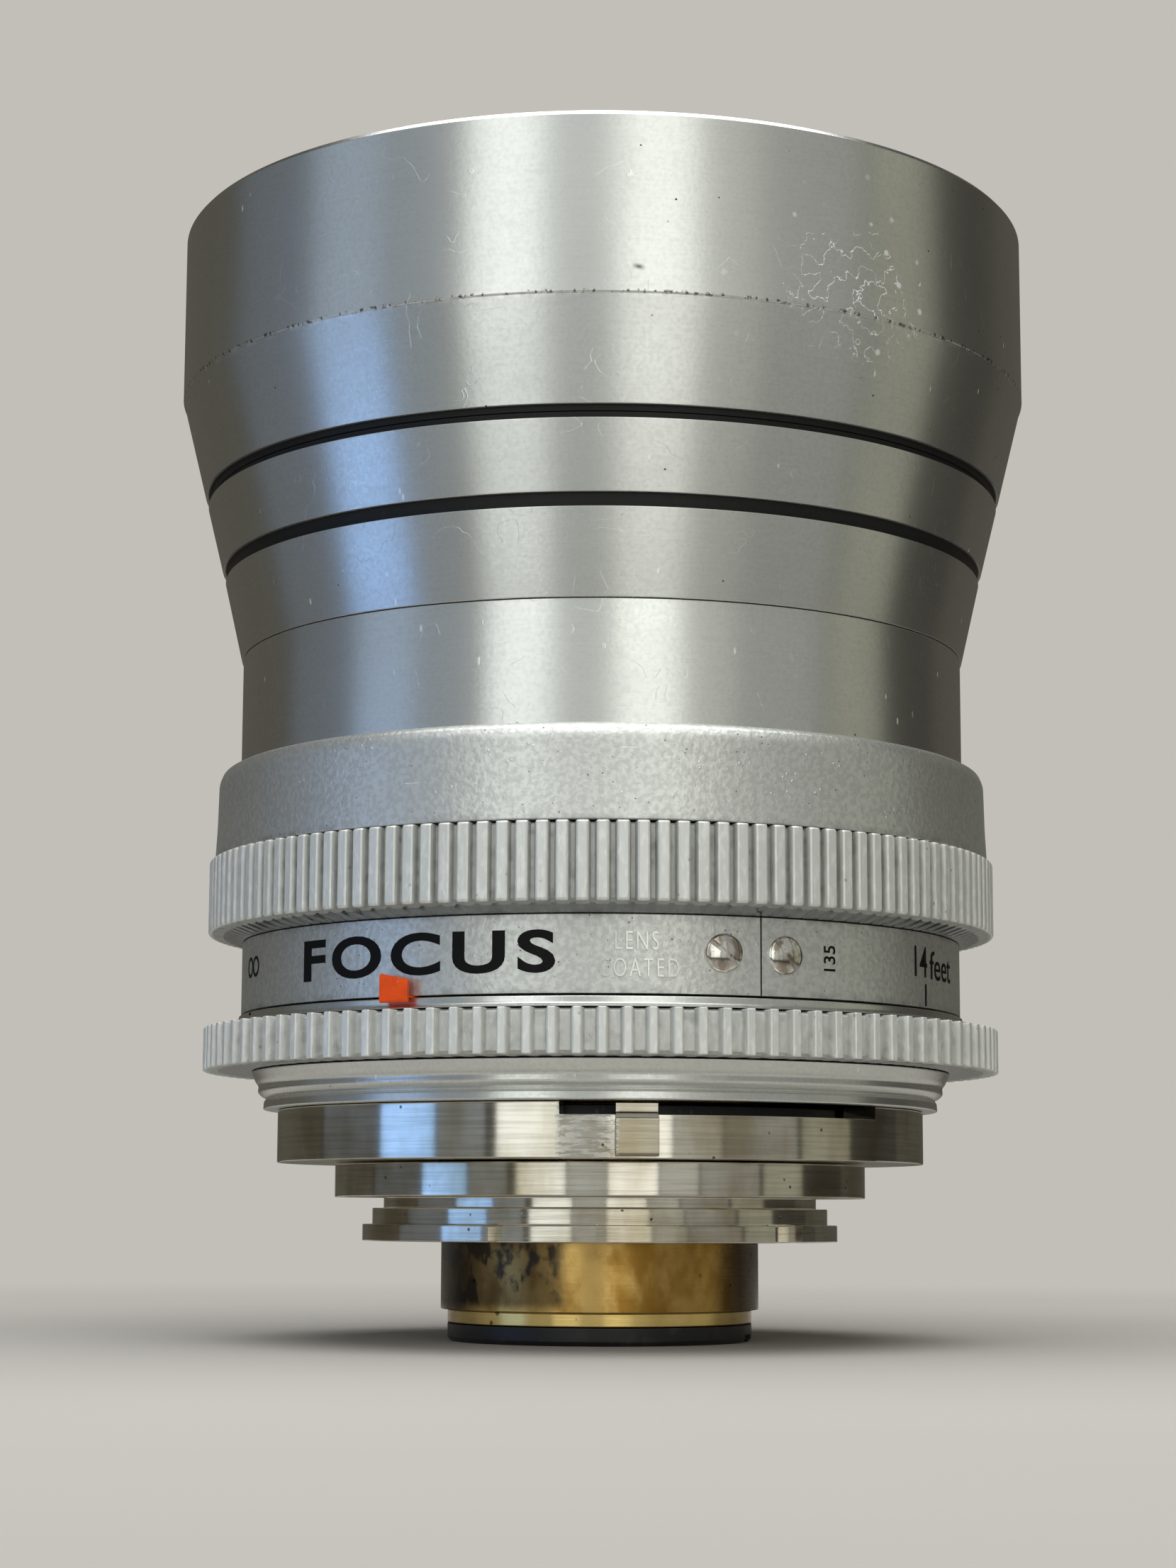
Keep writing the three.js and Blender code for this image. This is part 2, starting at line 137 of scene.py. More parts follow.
def full_turn(steps=ROUND):
    """Evenly spaced angles all the way round, in degrees."""
    return np.arange(steps) * 360 / steps


def lathe(profile, steps):
    """A solid of revolution: a profile from the lower pole on the axis to the upper one, carried
    round the axis, with a fan of triangles at either pole."""
    profile = np.asarray(profile, float)
    inner = profile[1:-1]
    points = polar(inner[None, :, 0], full_turn(steps)[:, None], inner[None, :, 1]).reshape(-1, 3)
    faces = grid_faces(steps, len(inner), True, False).tolist()
    low, high = len(points), len(points) + 1
    points = np.vstack([points, [0, 0, profile[0, 1]], [0, 0, profile[-1, 1]]])
    ring = np.arange(steps) * len(inner)
    after = np.roll(ring, -1)
    top = len(inner) - 1
    faces += np.stack([np.full(steps, low), after, ring], axis=-1).tolist()
    faces += np.stack([ring + top, after + top, np.full(steps, high)], axis=-1).tolist()
    return points, faces


def merged(*shapes):
    """Several shapes as one: their points in a row, each one's faces counted on."""
    points, faces, base = [], [], 0
    for shape_points, shape_faces in shapes:
        points.append(shape_points)
        faces += [[base + k for k in face] for face in shape_faces]
        base += len(shape_points)
    return np.vstack(points), faces


def placed_lathe(shape, radius, angle, z, turn=0.0):
    """A lathe shape stood on the side of the barrel: its axis points out along the radius, and it is
    turned about that axis. Column vectors: right, up and outward at the angle."""
    points, faces = shape
    a, t = math.radians(angle), math.radians(turn)
    outward = np.array([math.sin(a), -math.cos(a), 0])
    right, up = np.array([math.cos(a), math.sin(a), 0]), np.array([0, 0, 1.0])
    first = right * math.cos(t) + up * math.sin(t)
    second = up * math.cos(t) - right * math.sin(t)
    origin = outward * radius + up * z
    return origin + points @ np.stack([first, second, outward]), faces


def knurl_turn(teeth, crest, valley, flank, soft):
    """Angles and heights of a knurl, tooth by tooth: a tooth rises over a flank to its crest, whose
    edges are a little lower than its middle, and falls to the valley. Widths are shares of a pitch."""
    edge = crest * 0.14
    stops = np.cumsum([0, flank, edge, crest - 2 * edge, edge, flank])
    heights = np.array([0, 1 - soft, 1, 1, 1 - soft, 0])
    stops = (stops - stops[-1] / 2) / (crest + valley + 2 * flank)
    angles = (np.arange(teeth)[:, None] + stops[None, :]) * 360 / teeth
    return angles.ravel(), np.tile(heights, teeth)


# ---- pieces ------------------------------------------------------------------------------------

def make_mesh(name, shape, sharp=SHARP):
    """A mesh from a shape in millimetres, smooth except at edges sharper than an angle in degrees."""
    points, faces = shape
    mesh = bpy.data.meshes.new(name)
    mesh.from_pydata((np.asarray(points) * MM).tolist(), [], faces)
    mesh.validate()
    mesh.polygons.foreach_set("use_smooth", np.ones(len(mesh.polygons), bool))
    mesh.set_sharp_from_angle(angle=math.radians(sharp))
    mesh.update()
    return mesh


def piece(name, mesh, material, node, replaces=True):
    """Links a finished piece, which rides on the body that carries a CAD node and may stand for it."""
    made = bpy.data.objects.new(name, mesh)
    bpy.context.scene.collection.objects.link(made)
    mesh.materials.clear()
    mesh.materials.append(material)
    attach(made, frame["nodes"][node]["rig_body"])
    if replaces:
        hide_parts(node)
    return made


def ring_piece(node, section, material, steps=ROUND, sharp=SHARP):
    """A full ring that stands for a CAD node."""
    mesh = make_mesh(node, swept(section, full_turn(steps)), sharp)
    return piece(f"{node}_finished", mesh, material, node)


def carved(mesh, cutters):
    """A mesh less some cutter shapes, worked out once and kept as a plain mesh."""
    scene = bpy.context.scene
    body = bpy.data.objects.new("carving", mesh)
    tool = bpy.data.objects.new("cutter", make_mesh("cutter", merged(*cutters)))
    scene.collection.objects.link(body)
    scene.collection.objects.link(tool)
    step = body.modifiers.new("cut", "BOOLEAN")
    step.operation, step.solver, step.object = "DIFFERENCE", "EXACT", tool
    bpy.context.view_layer.update()
    result = bpy.data.meshes.new_from_object(body.evaluated_get(bpy.context.evaluated_depsgraph_get()))
    bpy.data.objects.remove(body)
    bpy.data.objects.remove(tool)
    result.set_sharp_from_angle(angle=math.radians(SHARP))
    return result


def lettering(text, height, width, thickness=0.03, weight=0.0, turn=0.0, spacing=1.0):
    """Letters as a shape: x along the line and centred, y up and centred, z from 0 to the thickness.
    Upright cuts let them bend; the line is drawn out or in to its width before it is turned."""
    curve = bpy.data.curves.new(text, "FONT")
    curve.body = text
    curve.size = height / 0.7
    curve.align_x = "CENTER"
    curve.resolution_u = 6
    curve.extrude = thickness / 2
    curve.offset = weight
    curve.space_character = spacing
    holder = bpy.data.objects.new(text, curve)
    mesh = bpy.data.meshes.new_from_object(holder)
    split = bmesh.new()
    split.from_mesh(mesh)
    for x in np.arange(-8, 8, 0.16) * height:
        parts = split.verts[:] + split.edges[:] + split.faces[:]
        bmesh.ops.bisect_plane(split, geom=parts, plane_co=(x, 0, 0), plane_no=(1, 0, 0))
    split.to_mesh(mesh)
    split.free()
    points = np.empty(len(mesh.vertices) * 3)
    mesh.vertices.foreach_get("co", points)
    points = points.reshape(-1, 3)
    faces = [list(face.vertices) for face in mesh.polygons]
    bpy.data.objects.remove(holder)
    bpy.data.meshes.remove(mesh)
    points[:, :2] -= (points[:, :2].min(axis=0) + points[:, :2].max(axis=0)) / 2
    points[:, 0] *= width / np.ptp(points[:, 0])
    t = math.radians(turn)
    points[:, :2] = points[:, :2] @ np.array([[math.cos(t), math.sin(t)], [-math.sin(t), math.cos(t)]])
    points[:, 2] += thickness / 2
    return points, faces


def wrapped(shape, radius, angle, z):
    """A flat shape laid round a cylinder: x becomes the angle x / r, y the height, z the distance out."""
    points, faces = shape
    turn = angle + np.degrees(points[:, 0] / radius)
    return polar(radius + points[:, 2], turn, z + points[:, 1]), faces


def bar(width, height, depth):
    """A thin block for a scale line, split along its width so that it bends with the ring."""
    x = np.linspace(-width / 2, width / 2, 4)
    corners = np.array([[-height / 2, 0], [height / 2, 0], [height / 2, depth], [-height / 2, depth]])
    points = np.array([[a, *corner] for a in x for corner in corners])
    faces = grid_faces(4, 4, False, True)[:, ::-1].tolist() + [[3, 2, 1, 0], [12, 13, 14, 15]]
    return points, faces


# ---- shader maths ------------------------------------------------------------------------------

class Term:
    """A socket in a shader, so that maths on it reads as an expression."""

    def __init__(self, shader, socket):
        self.shader, self.socket = shader, socket

    def __add__(self, other):
        return self.shader.math("ADD", self, other)

    def __sub__(self, other):
        return self.shader.math("SUBTRACT", self, other)

    def __rsub__(self, other):
        return self.shader.math("SUBTRACT", other, self)

    def __mul__(self, other):
        return self.shader.math("MULTIPLY", self, other)

    def __abs__(self):
        return self.shader.math("ABSOLUTE", self)

    def __neg__(self):
        return self * -1

    __radd__, __rmul__ = __add__, __mul__


class Shader:
    """A node tree, with one method for every node and short ones for the maths."""

    def __init__(self, owner):
        owner.use_nodes = True
        self.tree = owner.node_tree
        self.tree.nodes.clear()

    def node(self, kind, settings=None, inputs=None, out=0):
        """Any node: its settings first, then values or links for its sockets; gives one output."""
        made = self.tree.nodes.new(kind)
        for key, value in (settings or {}).items():
            setattr(made, key, value)
        for key, value in (inputs or {}).items():
            socket = made.inputs[key]
            if isinstance(value, Term):
                self.tree.links.new(value.socket, socket)
            elif socket.type == "RGBA":
                socket.default_value = (*value, 1)
            else:
                socket.default_value = value
        return Term(self, made.outputs[out] if len(made.outputs) else made)

    def math(self, operation, *values):
        return self.node("ShaderNodeMath", {"operation": operation}, dict(enumerate(values)))

    def rise(self, value, low, high):
        """0 at low, 1 at high and smooth between them, whichever of the two is larger."""
        bottom, top = min(low, high), max(low, high)
        first, last = (0.0, 1.0) if low < high else (1.0, 0.0)
        inputs = {"Value": value, "From Min": bottom, "From Max": top, "To Min": first, "To Max": last}
        return self.node("ShaderNodeMapRange", {"interpolation_type": "SMOOTHSTEP"}, inputs)

    def near(self, value, centre, width):
        """1 at the centre, falling smoothly to 0 at a width either side."""
        return self.rise(abs(value - centre), width, 0)

    def mix(self, factor, first, second):
        """A colour between two others."""
        return self.node("ShaderNodeMix", {"data_type": "RGBA"}, {0: factor, 6: first, 7: second}, 2)


class Finish(Shader):
    """A material, with the coordinates that all finishes share, in millimetres and degrees."""

    def __init__(self, name):
        self.material = bpy.data.materials.new(name)
        super().__init__(self.material)
        here = self.node("ShaderNodeTexCoord", out="Object")
        self.place = self.node("ShaderNodeVectorMath", {"operation": "SCALE"}, {0: here, "Scale": 1 / MM})
        split = self.node("ShaderNodeSeparateXYZ", None, {0: self.place}).socket.node
        self.x, self.y, self.z = (Term(self, split.outputs[k]) for k in range(3))
        self.radius = self.math("SQRT", self.x * self.x + self.y * self.y)
        self.angle = self.math("ARCTAN2", self.x, -self.y) * (180 / math.pi)

    def stretched(self, stretch, shift):
        inputs = {0: self.place, 1: stretch, 2: (shift, shift * 0.7, shift * 1.3)}
        return self.node("ShaderNodeVectorMath", {"operation": "MULTIPLY_ADD"}, inputs)

    def noise(self, scale, stretch=(1, 1, 1), detail=2.0, shift=0.0):
        """Noise at a scale per millimetre, with the place stretched along X, Y and Z first."""
        inputs = {"Vector": self.stretched(stretch, shift), "Scale": scale, "Detail": detail}
        return self.node("ShaderNodeTexNoise", None, inputs)

    def specks(self, scale, size, stretch=(1, 1, 1), shift=0.0):
        """Scattered spots: 1 within a size of the nearest of a cloud of points."""
        inputs = {"Vector": self.stretched(stretch, shift), "Scale": scale}
        distance = self.node("ShaderNodeTexVoronoi", None, inputs, "Distance")
        return self.rise(distance, size, size * 0.6)

    def bump(self, height, distance, strength=1.0):
        """A normal from a height, whose full range stands for a distance in millimetres."""
        inputs = {"Height": height, "Distance": distance * MM, "Strength": strength}
        return self.node("ShaderNodeBump", None, inputs)

    def finish(self, **values):
        """Ends the material in a Principled surface; each name is a socket's, with _ for a space."""
        inputs = {key.replace("_", " "): value for key, value in values.items()}
        surface = self.node("ShaderNodeBsdfPrincipled", None, inputs)
        self.node("ShaderNodeOutputMaterial", None, {"Surface": surface})
        return self.material


def shade(code):
    """A linear colour from its six-figure web code."""
    value = np.array([int(code[k:k + 2], 16) for k in (0, 2, 4)]) / 255
    return tuple(np.where(value <= 0.04045, value / 12.92, ((value + 0.055) / 1.055) ** 2.4).tolist())


# ---- finishes ----------------------------------------------------------------------------------

ANISOTROPY = 0.6
ACROSS = 0.25      # turns the brushing's stretch from round the ring to along the axis
BLACK = shade("0d0d0d")
CONE_LOW_Z, CONE_LOW_R, CONE_SLOPE = 48.6, 26.23, 0.2455
FRONT_R = 31
RIM = (29.45, 79.6)      # bare metal outside this radius and above this height
ALL_METAL = 9.0          # a depth below the surface that no part of a ring reaches


def cone_radius(z):
    """Outer radius of the flared barrel at a height, in millimetres."""
    return CONE_LOW_R + CONE_SLOPE * (z - CONE_LOW_Z)


def cone_height(radius):
    """The height at which the flared barrel has an outer radius, in millimetres."""
    return CONE_LOW_Z + (radius - CONE_LOW_R) / CONE_SLOPE


def turned_aluminium(name, settings, black_from=0.12, rim=None):
    """Satin aluminium, finely turned, with small nicks, white scrapes in one place and a gouge. What
    lies deeper than black_from below the barrel's outer surface is painted black: grooves and the
    inside, but for a rim given as a radius and a height."""
    s = Finish(name)
    grain = s.noise(3.8, detail=2)
    turning = s.noise(1.0, (0.35, 0.35, 7), detail=3)
    cloud = s.noise(0.11, detail=3)
    haze = s.noise(0.5, (1, 1, 0.4), detail=3, shift=9)
    nick = s.specks(0.75, 0.085, (1, 1, 0.35)) * s.rise(haze, 0.5, 0.56)
    pit = s.specks(0.6, 0.05, shift=31) * s.rise(cloud, 0.5, 0.54)
    edge_z = cone_height(FRONT_R) - 0.25
    on_edge = s.near(s.z, edge_z, 0.2)
    knocks = on_edge * s.rise(s.noise(3.2, (1, 1, 0.5), detail=1, shift=4), 0.55, 0.63)
    rubbed = s.near(s.z, edge_z - 0.12, 0.3) * s.rise(s.noise(0.9, shift=2), 0.5, 0.6)
    fibre = s.near(s.noise(0.34, detail=1.5, shift=41), 0.5, 0.0035)
    fibre = fibre * s.rise(s.noise(0.3, detail=1, shift=44), 0.54, 0.58)
    patch = s.near(s.angle, 33, 26) * s.near(s.z, 69, 12)
    torn = s.near(s.noise(0.62, detail=4, shift=51), 0.5, 0.02)
    chips = s.rise(torn * patch + s.noise(1.0, detail=2, shift=47), 1.12, 1.3) + s.specks(0.45, 0.13) * patch
    gouge = s.near(s.angle, 4, 1.0) * s.near(s.z + s.angle * 0.1, 69.8, 0.28)
    metal = s.mix(cloud, settings.aluminium, tuple(c * 0.9 for c in settings.aluminium))
    metal = s.mix(s.rise(turning, 0.35, 0.7) * 0.05 + s.rise(grain, 0.4, 0.7) * 0.1, metal, shade("8f8f8a"))
    metal = s.mix(nick + rubbed * 0.5 + chips * 0.9 + fibre * 0.5, metal, shade("fbfcfa"))
    metal = s.mix(pit + knocks * 0.85 + gouge * 0.8, metal, shade("32302c"))
    outer = s.math("MINIMUM", FRONT_R, s.math("MAXIMUM", s.z - CONE_LOW_Z, 0.0) * CONE_SLOPE + CONE_LOW_R)
    deep = s.rise(outer - s.radius, black_from, black_from + 0.12)
    if rim:
        deep = deep * (1 - s.rise(s.z, rim[1] - 0.06, rim[1]) * s.rise(s.radius, rim[0] - 0.05, rim[0]))
    dust = s.rise(s.noise(2.2, detail=4, shift=17), 0.58, 0.75) * 0.12
    paint = s.mix(dust, BLACK, shade("4a4844"))
    height = grain + turning * 0.2 + nick * 0.8 - pit * 1.5 - knocks * 2 + chips * 3 - gouge * 3 + fibre
    return s.finish(
        Base_Color=s.mix(deep, metal, paint),
        Metallic=1 - s.math("MAXIMUM", deep, chips * 0.75 + nick * 0.4),
        Roughness=grain * 0.1 + cloud * 0.12 + deep * 0.25 + chips * 0.25 + (settings.satin - 0.11),
        Anisotropic=ANISOTROPY, Anisotropic_Rotation=ACROSS,
        Normal=s.bump(height, 0.0032))


def blasted_aluminium(name, settings, seams=()):
    """Fine-blasted aluminium with bright and dark specks, and dirt along its seams."""
    s = Finish(name)
    grain = s.noise(2.7, detail=2)
    cloud = s.noise(0.16, (1, 1, 0.6), detail=3, shift=5)
    worn = s.rise(s.noise(0.2, (1, 1, 1), detail=2, shift=12), 0.45, 0.6)
    bright = s.specks(1.7, 0.16) * s.rise(s.noise(0.8, shift=3), 0.5, 0.56) * worn
    dark = s.specks(2.1, 0.13, shift=8) * s.rise(s.noise(0.7, shift=6), 0.52, 0.58)
    scratch = s.specks(0.35, 0.05, (0.2, 0.2, 3), shift=14)
    metal = s.mix(cloud, settings.aluminium, tuple(c * 0.9 for c in settings.aluminium))
    metal = s.mix(s.rise(grain, 0.38, 0.62) * 0.3, metal, shade("a2a4a1"))
    metal = s.mix(bright * 0.8 + scratch * 0.4, metal, shade("f4f5f2"))
    metal = s.mix(dark * 0.75, metal, shade("3b3a37"))
    grime = 0.0
    for seam in seams:
        grime = s.near(s.z, seam, 0.5) * s.rise(s.noise(0.8, shift=seam), 0.4, 0.68) + grime
    metal = s.mix(grime * 0.28, metal, shade("4c4336"))
    height = grain + bright * 0.7 - dark * 1.2 - scratch * 0.5
    return s.finish(
        Base_Color=metal, Metallic=0.88,
        Roughness=grain * 0.12 + cloud * 0.1 + (settings.satin + 0.02),
        Anisotropic=0.3, Anisotropic_Rotation=ACROSS,
        Normal=s.bump(height, 0.03))


def knurled_aluminium(name, settings, crest_radius, rough_valleys):
    """Cut knurling: scraped bright on the crests, duller in the valleys, which are darkened with painted
    shade and old dirt, and plain smooth metal further in, darkened with painted shade."""
    s = Finish(name)
    scraped = s.noise(3.0, (1, 1, 0.35), detail=4)
    cloud = s.noise(0.25, detail=2, shift=7)
    sparkle = s.noise(5.5, detail=2, shift=33)
    valley = s.rise(s.radius, crest_radius - 0.08, crest_radius - 0.4)
    dirt = valley * s.rise(s.noise(1.1, detail=4, shift=21), 0.45, 0.8)
    chip = s.specks(1.3, 0.2, shift=2) * s.rise(s.noise(0.9, shift=15), 0.58, 0.64)
    metal = s.mix(cloud * 0.4, settings.aluminium, shade("cfd0cc"))
    metal = s.mix(s.rise(scraped, 0.45, 0.7) * 0.6, metal, shade("fafbf8"))
    metal = s.mix(chip * 0.4, metal, shade("77746c"))
    # the valleys are darkened with painted shade, and more where old dirt lies in patches
    metal = s.mix(valley * (0.2 if rough_valleys else 0.45) + dirt * 0.25, metal, shade("5d5c57"))
    # further in the metal is smooth, and its colour is darkened with painted shade, as below the teeth
    inner = s.rise(s.radius, crest_radius - 0.98, crest_radius - 1.12)
    metal = s.mix(inner * 0.75, metal, shade("85888b"))
    height = scraped * (valley * (1.5 if rough_valleys else 0.2) + 0.8) + sparkle * 0.5 - chip
    return s.finish(
        Base_Color=metal, Metallic=inner * 0.5 + 0.5,
        Roughness=(scraped * 0.15 + sparkle * 0.15 + valley * 0.1) * (1 - inner) + inner * -0.08 + 0.32,
        Normal=s.bump(height * (1 - inner), 0.012))


def worn_steel(name, settings):
    """Plated steel, turned with clear lines round it, rubbed and yellowed with age, with one scuffed
    stretch beside the slot, and a dull tab with a painted highlight along its bevelled top edge."""
    s = Finish(name)
    lines = s.noise(1.0, (0.12, 0.12, 4.5), detail=4)
    fine = s.noise(1.0, (0.7, 0.7, 11), detail=2, shift=3)
    cloud = s.noise(0.22, (1, 1, 0.5), detail=4, shift=8)
    scuffed = s.rise(s.angle, -8, -6.5) * s.rise(s.angle, 3, 2) * s.rise(s.z, 12.4, 12.6)
    rub = scuffed * s.rise(s.noise(2.2, (0.5, 0.5, 2), detail=4), 0.42, 0.6)
    spot = s.specks(0.9, 0.12, shift=3) * s.rise(s.noise(0.5, shift=11), 0.53, 0.58)
    tab = s.rise(s.radius, 23.3, 23.34)
    tab_face = tab * s.rise(s.z, 15.0, 14.9) * s.rise(cloud + fine * 0.4, 0.9, 0.55)
    # a painted highlight in near white along the bevelled top edge of the tab
    tab_top_highlight = tab * s.near(s.z, 15.2, 0.2)
    metal = s.mix(s.rise(cloud, 0.35, 0.7), settings.steel, shade("b3a990"))
    metal = s.mix(s.rise(lines, 0.42, 0.66) * 0.25, metal, shade("6f6a60"))
    metal = s.mix(tab * (1 - tab_top_highlight) * 0.45 + tab_face * 0.25, metal, shade("6a6047"))
    metal = s.mix(rub * 0.5 + tab_top_highlight, metal, shade("f6f5ef"))
    metal = s.mix(spot * 0.8, metal, shade("2f2a22"))
    height = lines * 0.8 + fine * 0.5 + rub * 1.2 - spot
    return s.finish(
        Base_Color=metal, Metallic=1.0,
        Roughness=cloud * 0.09 + fine * 0.05 + rub * 0.15 + 0.07,
        Anisotropic=0.65, Anisotropic_Rotation=ACROSS,
        Normal=s.bump(height, 0.0035))


def old_brass(name, settings):
    """Bare brass gone brown, with near-black blotches and painted shade on one side, a bright band at its
    end, and painted shade darkening it to the right and towards the sides and the back."""
    s = Finish(name)
    cloud = s.noise(0.5, (1, 1, 0.6), detail=4)
    lines = s.noise(1.0, (0.2, 0.2, 5), detail=3, shift=2)
    blotch = s.rise(s.noise(0.55, (1, 1, 0.8), detail=4, shift=6), 0.46, 0.56)
    # one side is darkened with painted shade, with near-black blotches on it
    blotched_shaded_side = s.rise(s.angle, -9, -17) * s.rise(s.z, 2.2, 3.0)
    # painted shade, darkening the brass towards the sides and the back
    painted_side_shade = s.rise(abs(s.angle), 38, 60)
    band = s.rise(s.z, 2.35, 2.2)
    spots = s.specks(0.6, 0.16, shift=19) * s.rise(s.noise(0.4, shift=23), 0.48, 0.55)
    metal = s.mix(s.rise(cloud, 0.36, 0.7), settings.brass, shade("a37c38"))
    # painted shade, darkening the right side
    metal = s.mix(s.rise(s.angle, 12, 22) * 0.5, metal, shade("8a6427"))
    metal = s.mix(band * 0.75, metal, shade("f3d78c"))
    metal = s.mix((1 - band) * blotched_shaded_side * (blotch * 0.35 + 0.62), metal, shade("3a3733"))
    metal = s.mix(spots * 0.7 + painted_side_shade * (0.85 - band * 0.35), metal, shade("1d140a"))
    return s.finish(
        Base_Color=metal, Metallic=1.0,
        Roughness=cloud * 0.16 + lines * 0.08 + blotched_shaded_side * 0.1 - band * 0.05 + 0.15,
        Anisotropic=0.6, Anisotropic_Rotation=ACROSS,
        Normal=s.bump(lines + spots * -1.5, 0.004))


def black_paint(name, settings):
    """Matt black paint with dust and a few rubbed specks of metal."""
    s = Finish(name)
    grain = s.noise(3.0, detail=3)
    dust = s.rise(s.noise(0.8, detail=5, shift=4), 0.52, 0.75)
    rubbed = s.specks(0.55, 0.06, shift=9) * s.rise(s.noise(0.6, shift=13), 0.52, 0.58)
    colour = s.mix(dust * 0.35, settings.black, shade("474440"))
    colour = s.mix(rubbed, colour, shade("b9b6ae"))
    return s.finish(
        Base_Color=colour, Metallic=rubbed, Roughness=grain * 0.2 + dust * 0.15 + 0.3,
        Normal=s.bump(grain - rubbed, 0.004))


def blackened_steel(name, settings):
    """Thin blackened spring steel with a faint blue sheen and fine rubbed arcs."""
    s = Finish(name)
    lines = s.noise(1.0, (3, 0.4, 1), detail=3)
    cloud = s.noise(0.3, detail=3, shift=3)
    colour = s.mix(cloud, shade("26282d"), shade("3c3a38"))
    colour = s.mix(s.rise(lines, 0.6, 0.75) * 0.3, colour, shade("74726e"))
    return s.finish(
        Base_Color=colour, Metallic=1.0, Roughness=lines * 0.15 + 0.32, Anisotropic=0.4,
        Normal=s.bump(lines, 0.002))


def orange_paint(name, settings):
    """Orange enamel, a little uneven, thin and worn to metal in spots."""
    s = Finish(name)
    coat = s.noise(1.3, detail=3)
    grain = s.noise(7.0, detail=2, shift=5)
    worn = s.specks(1.4, 0.1, shift=3) * s.rise(s.noise(0.8, shift=8), 0.55, 0.62)
    colour = s.mix(s.rise(coat, 0.35, 0.7), settings.orange, tuple(c * 0.88 for c in settings.orange))
    colour = s.mix(worn * 0.6, colour, shade("e9a48a"))
    return s.finish(
        Base_Color=colour, Roughness=coat * 0.2 + 0.45, Specular_IOR_Level=0.25,
        Normal=s.bump(coat + grain * 0.3, 0.008))


def screw_steel(name, settings):
    """Bright screw heads, tarnished brown in places and dirty in their slots."""
    s = Finish(name)
    tarnish = s.noise(0.9, detail=3)
    fine = s.noise(5.0, (1, 1, 0.4), detail=3, shift=4)
    colour = s.mix(s.rise(tarnish, 0.4, 0.62), shade("e6e5df"), shade("a2978a"))
    colour = s.mix(s.rise(fine, 0.62, 0.74) * 0.5, colour, shade("453c33"))
    return s.finish(
        Base_Color=colour, Metallic=1.0, Roughness=fine * 0.1 + tarnish * 0.08 + 0.02,
        Normal=s.bump(tarnish * 1.5 + fine * 0.3, 0.012))


def engraved_paint(name, settings):
    """Black filling paint of engraved letters, slightly glossy and uneven."""
    s = Finish(name)
    grain = s.noise(6.0, detail=2)
    fade = s.rise(s.noise(0.7, shift=3), 0.5, 0.75) * 0.3
    return s.finish(
        Base_Color=s.mix(fade, shade("040404"), shade("1c1916")), Roughness=grain * 0.2 + 0.45,
        Specular_IOR_Level=0.2, Normal=s.bump(grain, 0.004))


def coated_glass(name, settings):
    """Optical glass with a thin blue-violet coating; light dust makes it a little rough in spots."""
    s = Finish(name)
    dust = s.specks(0.5, 0.04) * s.rise(s.noise(0.3, shift=5), 0.5, 0.6)
    return s.finish(
        Base_Color=s.mix(dust * 0.5, shade("f3f7ff"), shade("c9c4bb")), Roughness=dust * 0.4 + 0.01,
        Transmission_Weight=1.0, IOR=1.58, Thin_Film_Thickness=95.0, Thin_Film_IOR=1.38)


def finish_of(settings, maker, name, *details):
    """A finish by name, made the first time that it is asked for."""
    return bpy.data.materials.get(name) or maker(name, settings, *details)


# ---- settings ----------------------------------------------------------------------------------

def colour_setting(name, description, code):
    return bpy.props.FloatVectorProperty(
        name=name, description=description, subtype="COLOR", size=3, min=0, max=1, default=shade(code))


class LensSettings(bpy.types.PropertyGroup):
    """Sizes and colours of the lens that a user would change."""

    aluminium: colour_setting("Aluminium", "Colour of the satin and blasted aluminium", "e6e8e4")
    steel: colour_setting("Steel", "Colour of the plated mount", "dedace")
    brass: colour_setting("Brass", "Colour of the rear tube", "e2be74")
    black: colour_setting("Black", "Colour of the black paint", "141415")
    orange: colour_setting("Orange", "Colour of the two depth pointers", "ff5a16")
    floor: colour_setting("Floor", "Colour of the floor", "bfbcb6")
    satin: bpy.props.FloatProperty(
        name="Satin", description="Middle roughness of the aluminium", default=0.3, min=0.05, max=0.8)
    upper_teeth: bpy.props.IntProperty(
        name="Focus grip teeth", description="Teeth round the focusing grip", default=136, min=20, max=300)
    lower_teeth: bpy.props.IntProperty(
        name="Mount grip teeth", description="Teeth round the fixed grip", default=111, min=20, max=300)
    focal: bpy.props.FloatProperty(
        name="Camera focal length", description="Focal length of the camera in millimetres",
        default=68.098, min=20, max=300, subtype="DISTANCE_CAMERA", unit="CAMERA")
    brightness: bpy.props.FloatProperty(
        name="Lights", description="Brightness of all the lights", default=1.0, min=0, max=10)


class LensStep:
    """What every building step shares."""

    bl_options = {"REGISTER", "UNDO"}


# ---- outer barrel ------------------------------------------------------------------------------

GROOVE = 0.45            # depth of the black grooves
THREAD_PITCH = 0.75
THREAD_TURNS = 5


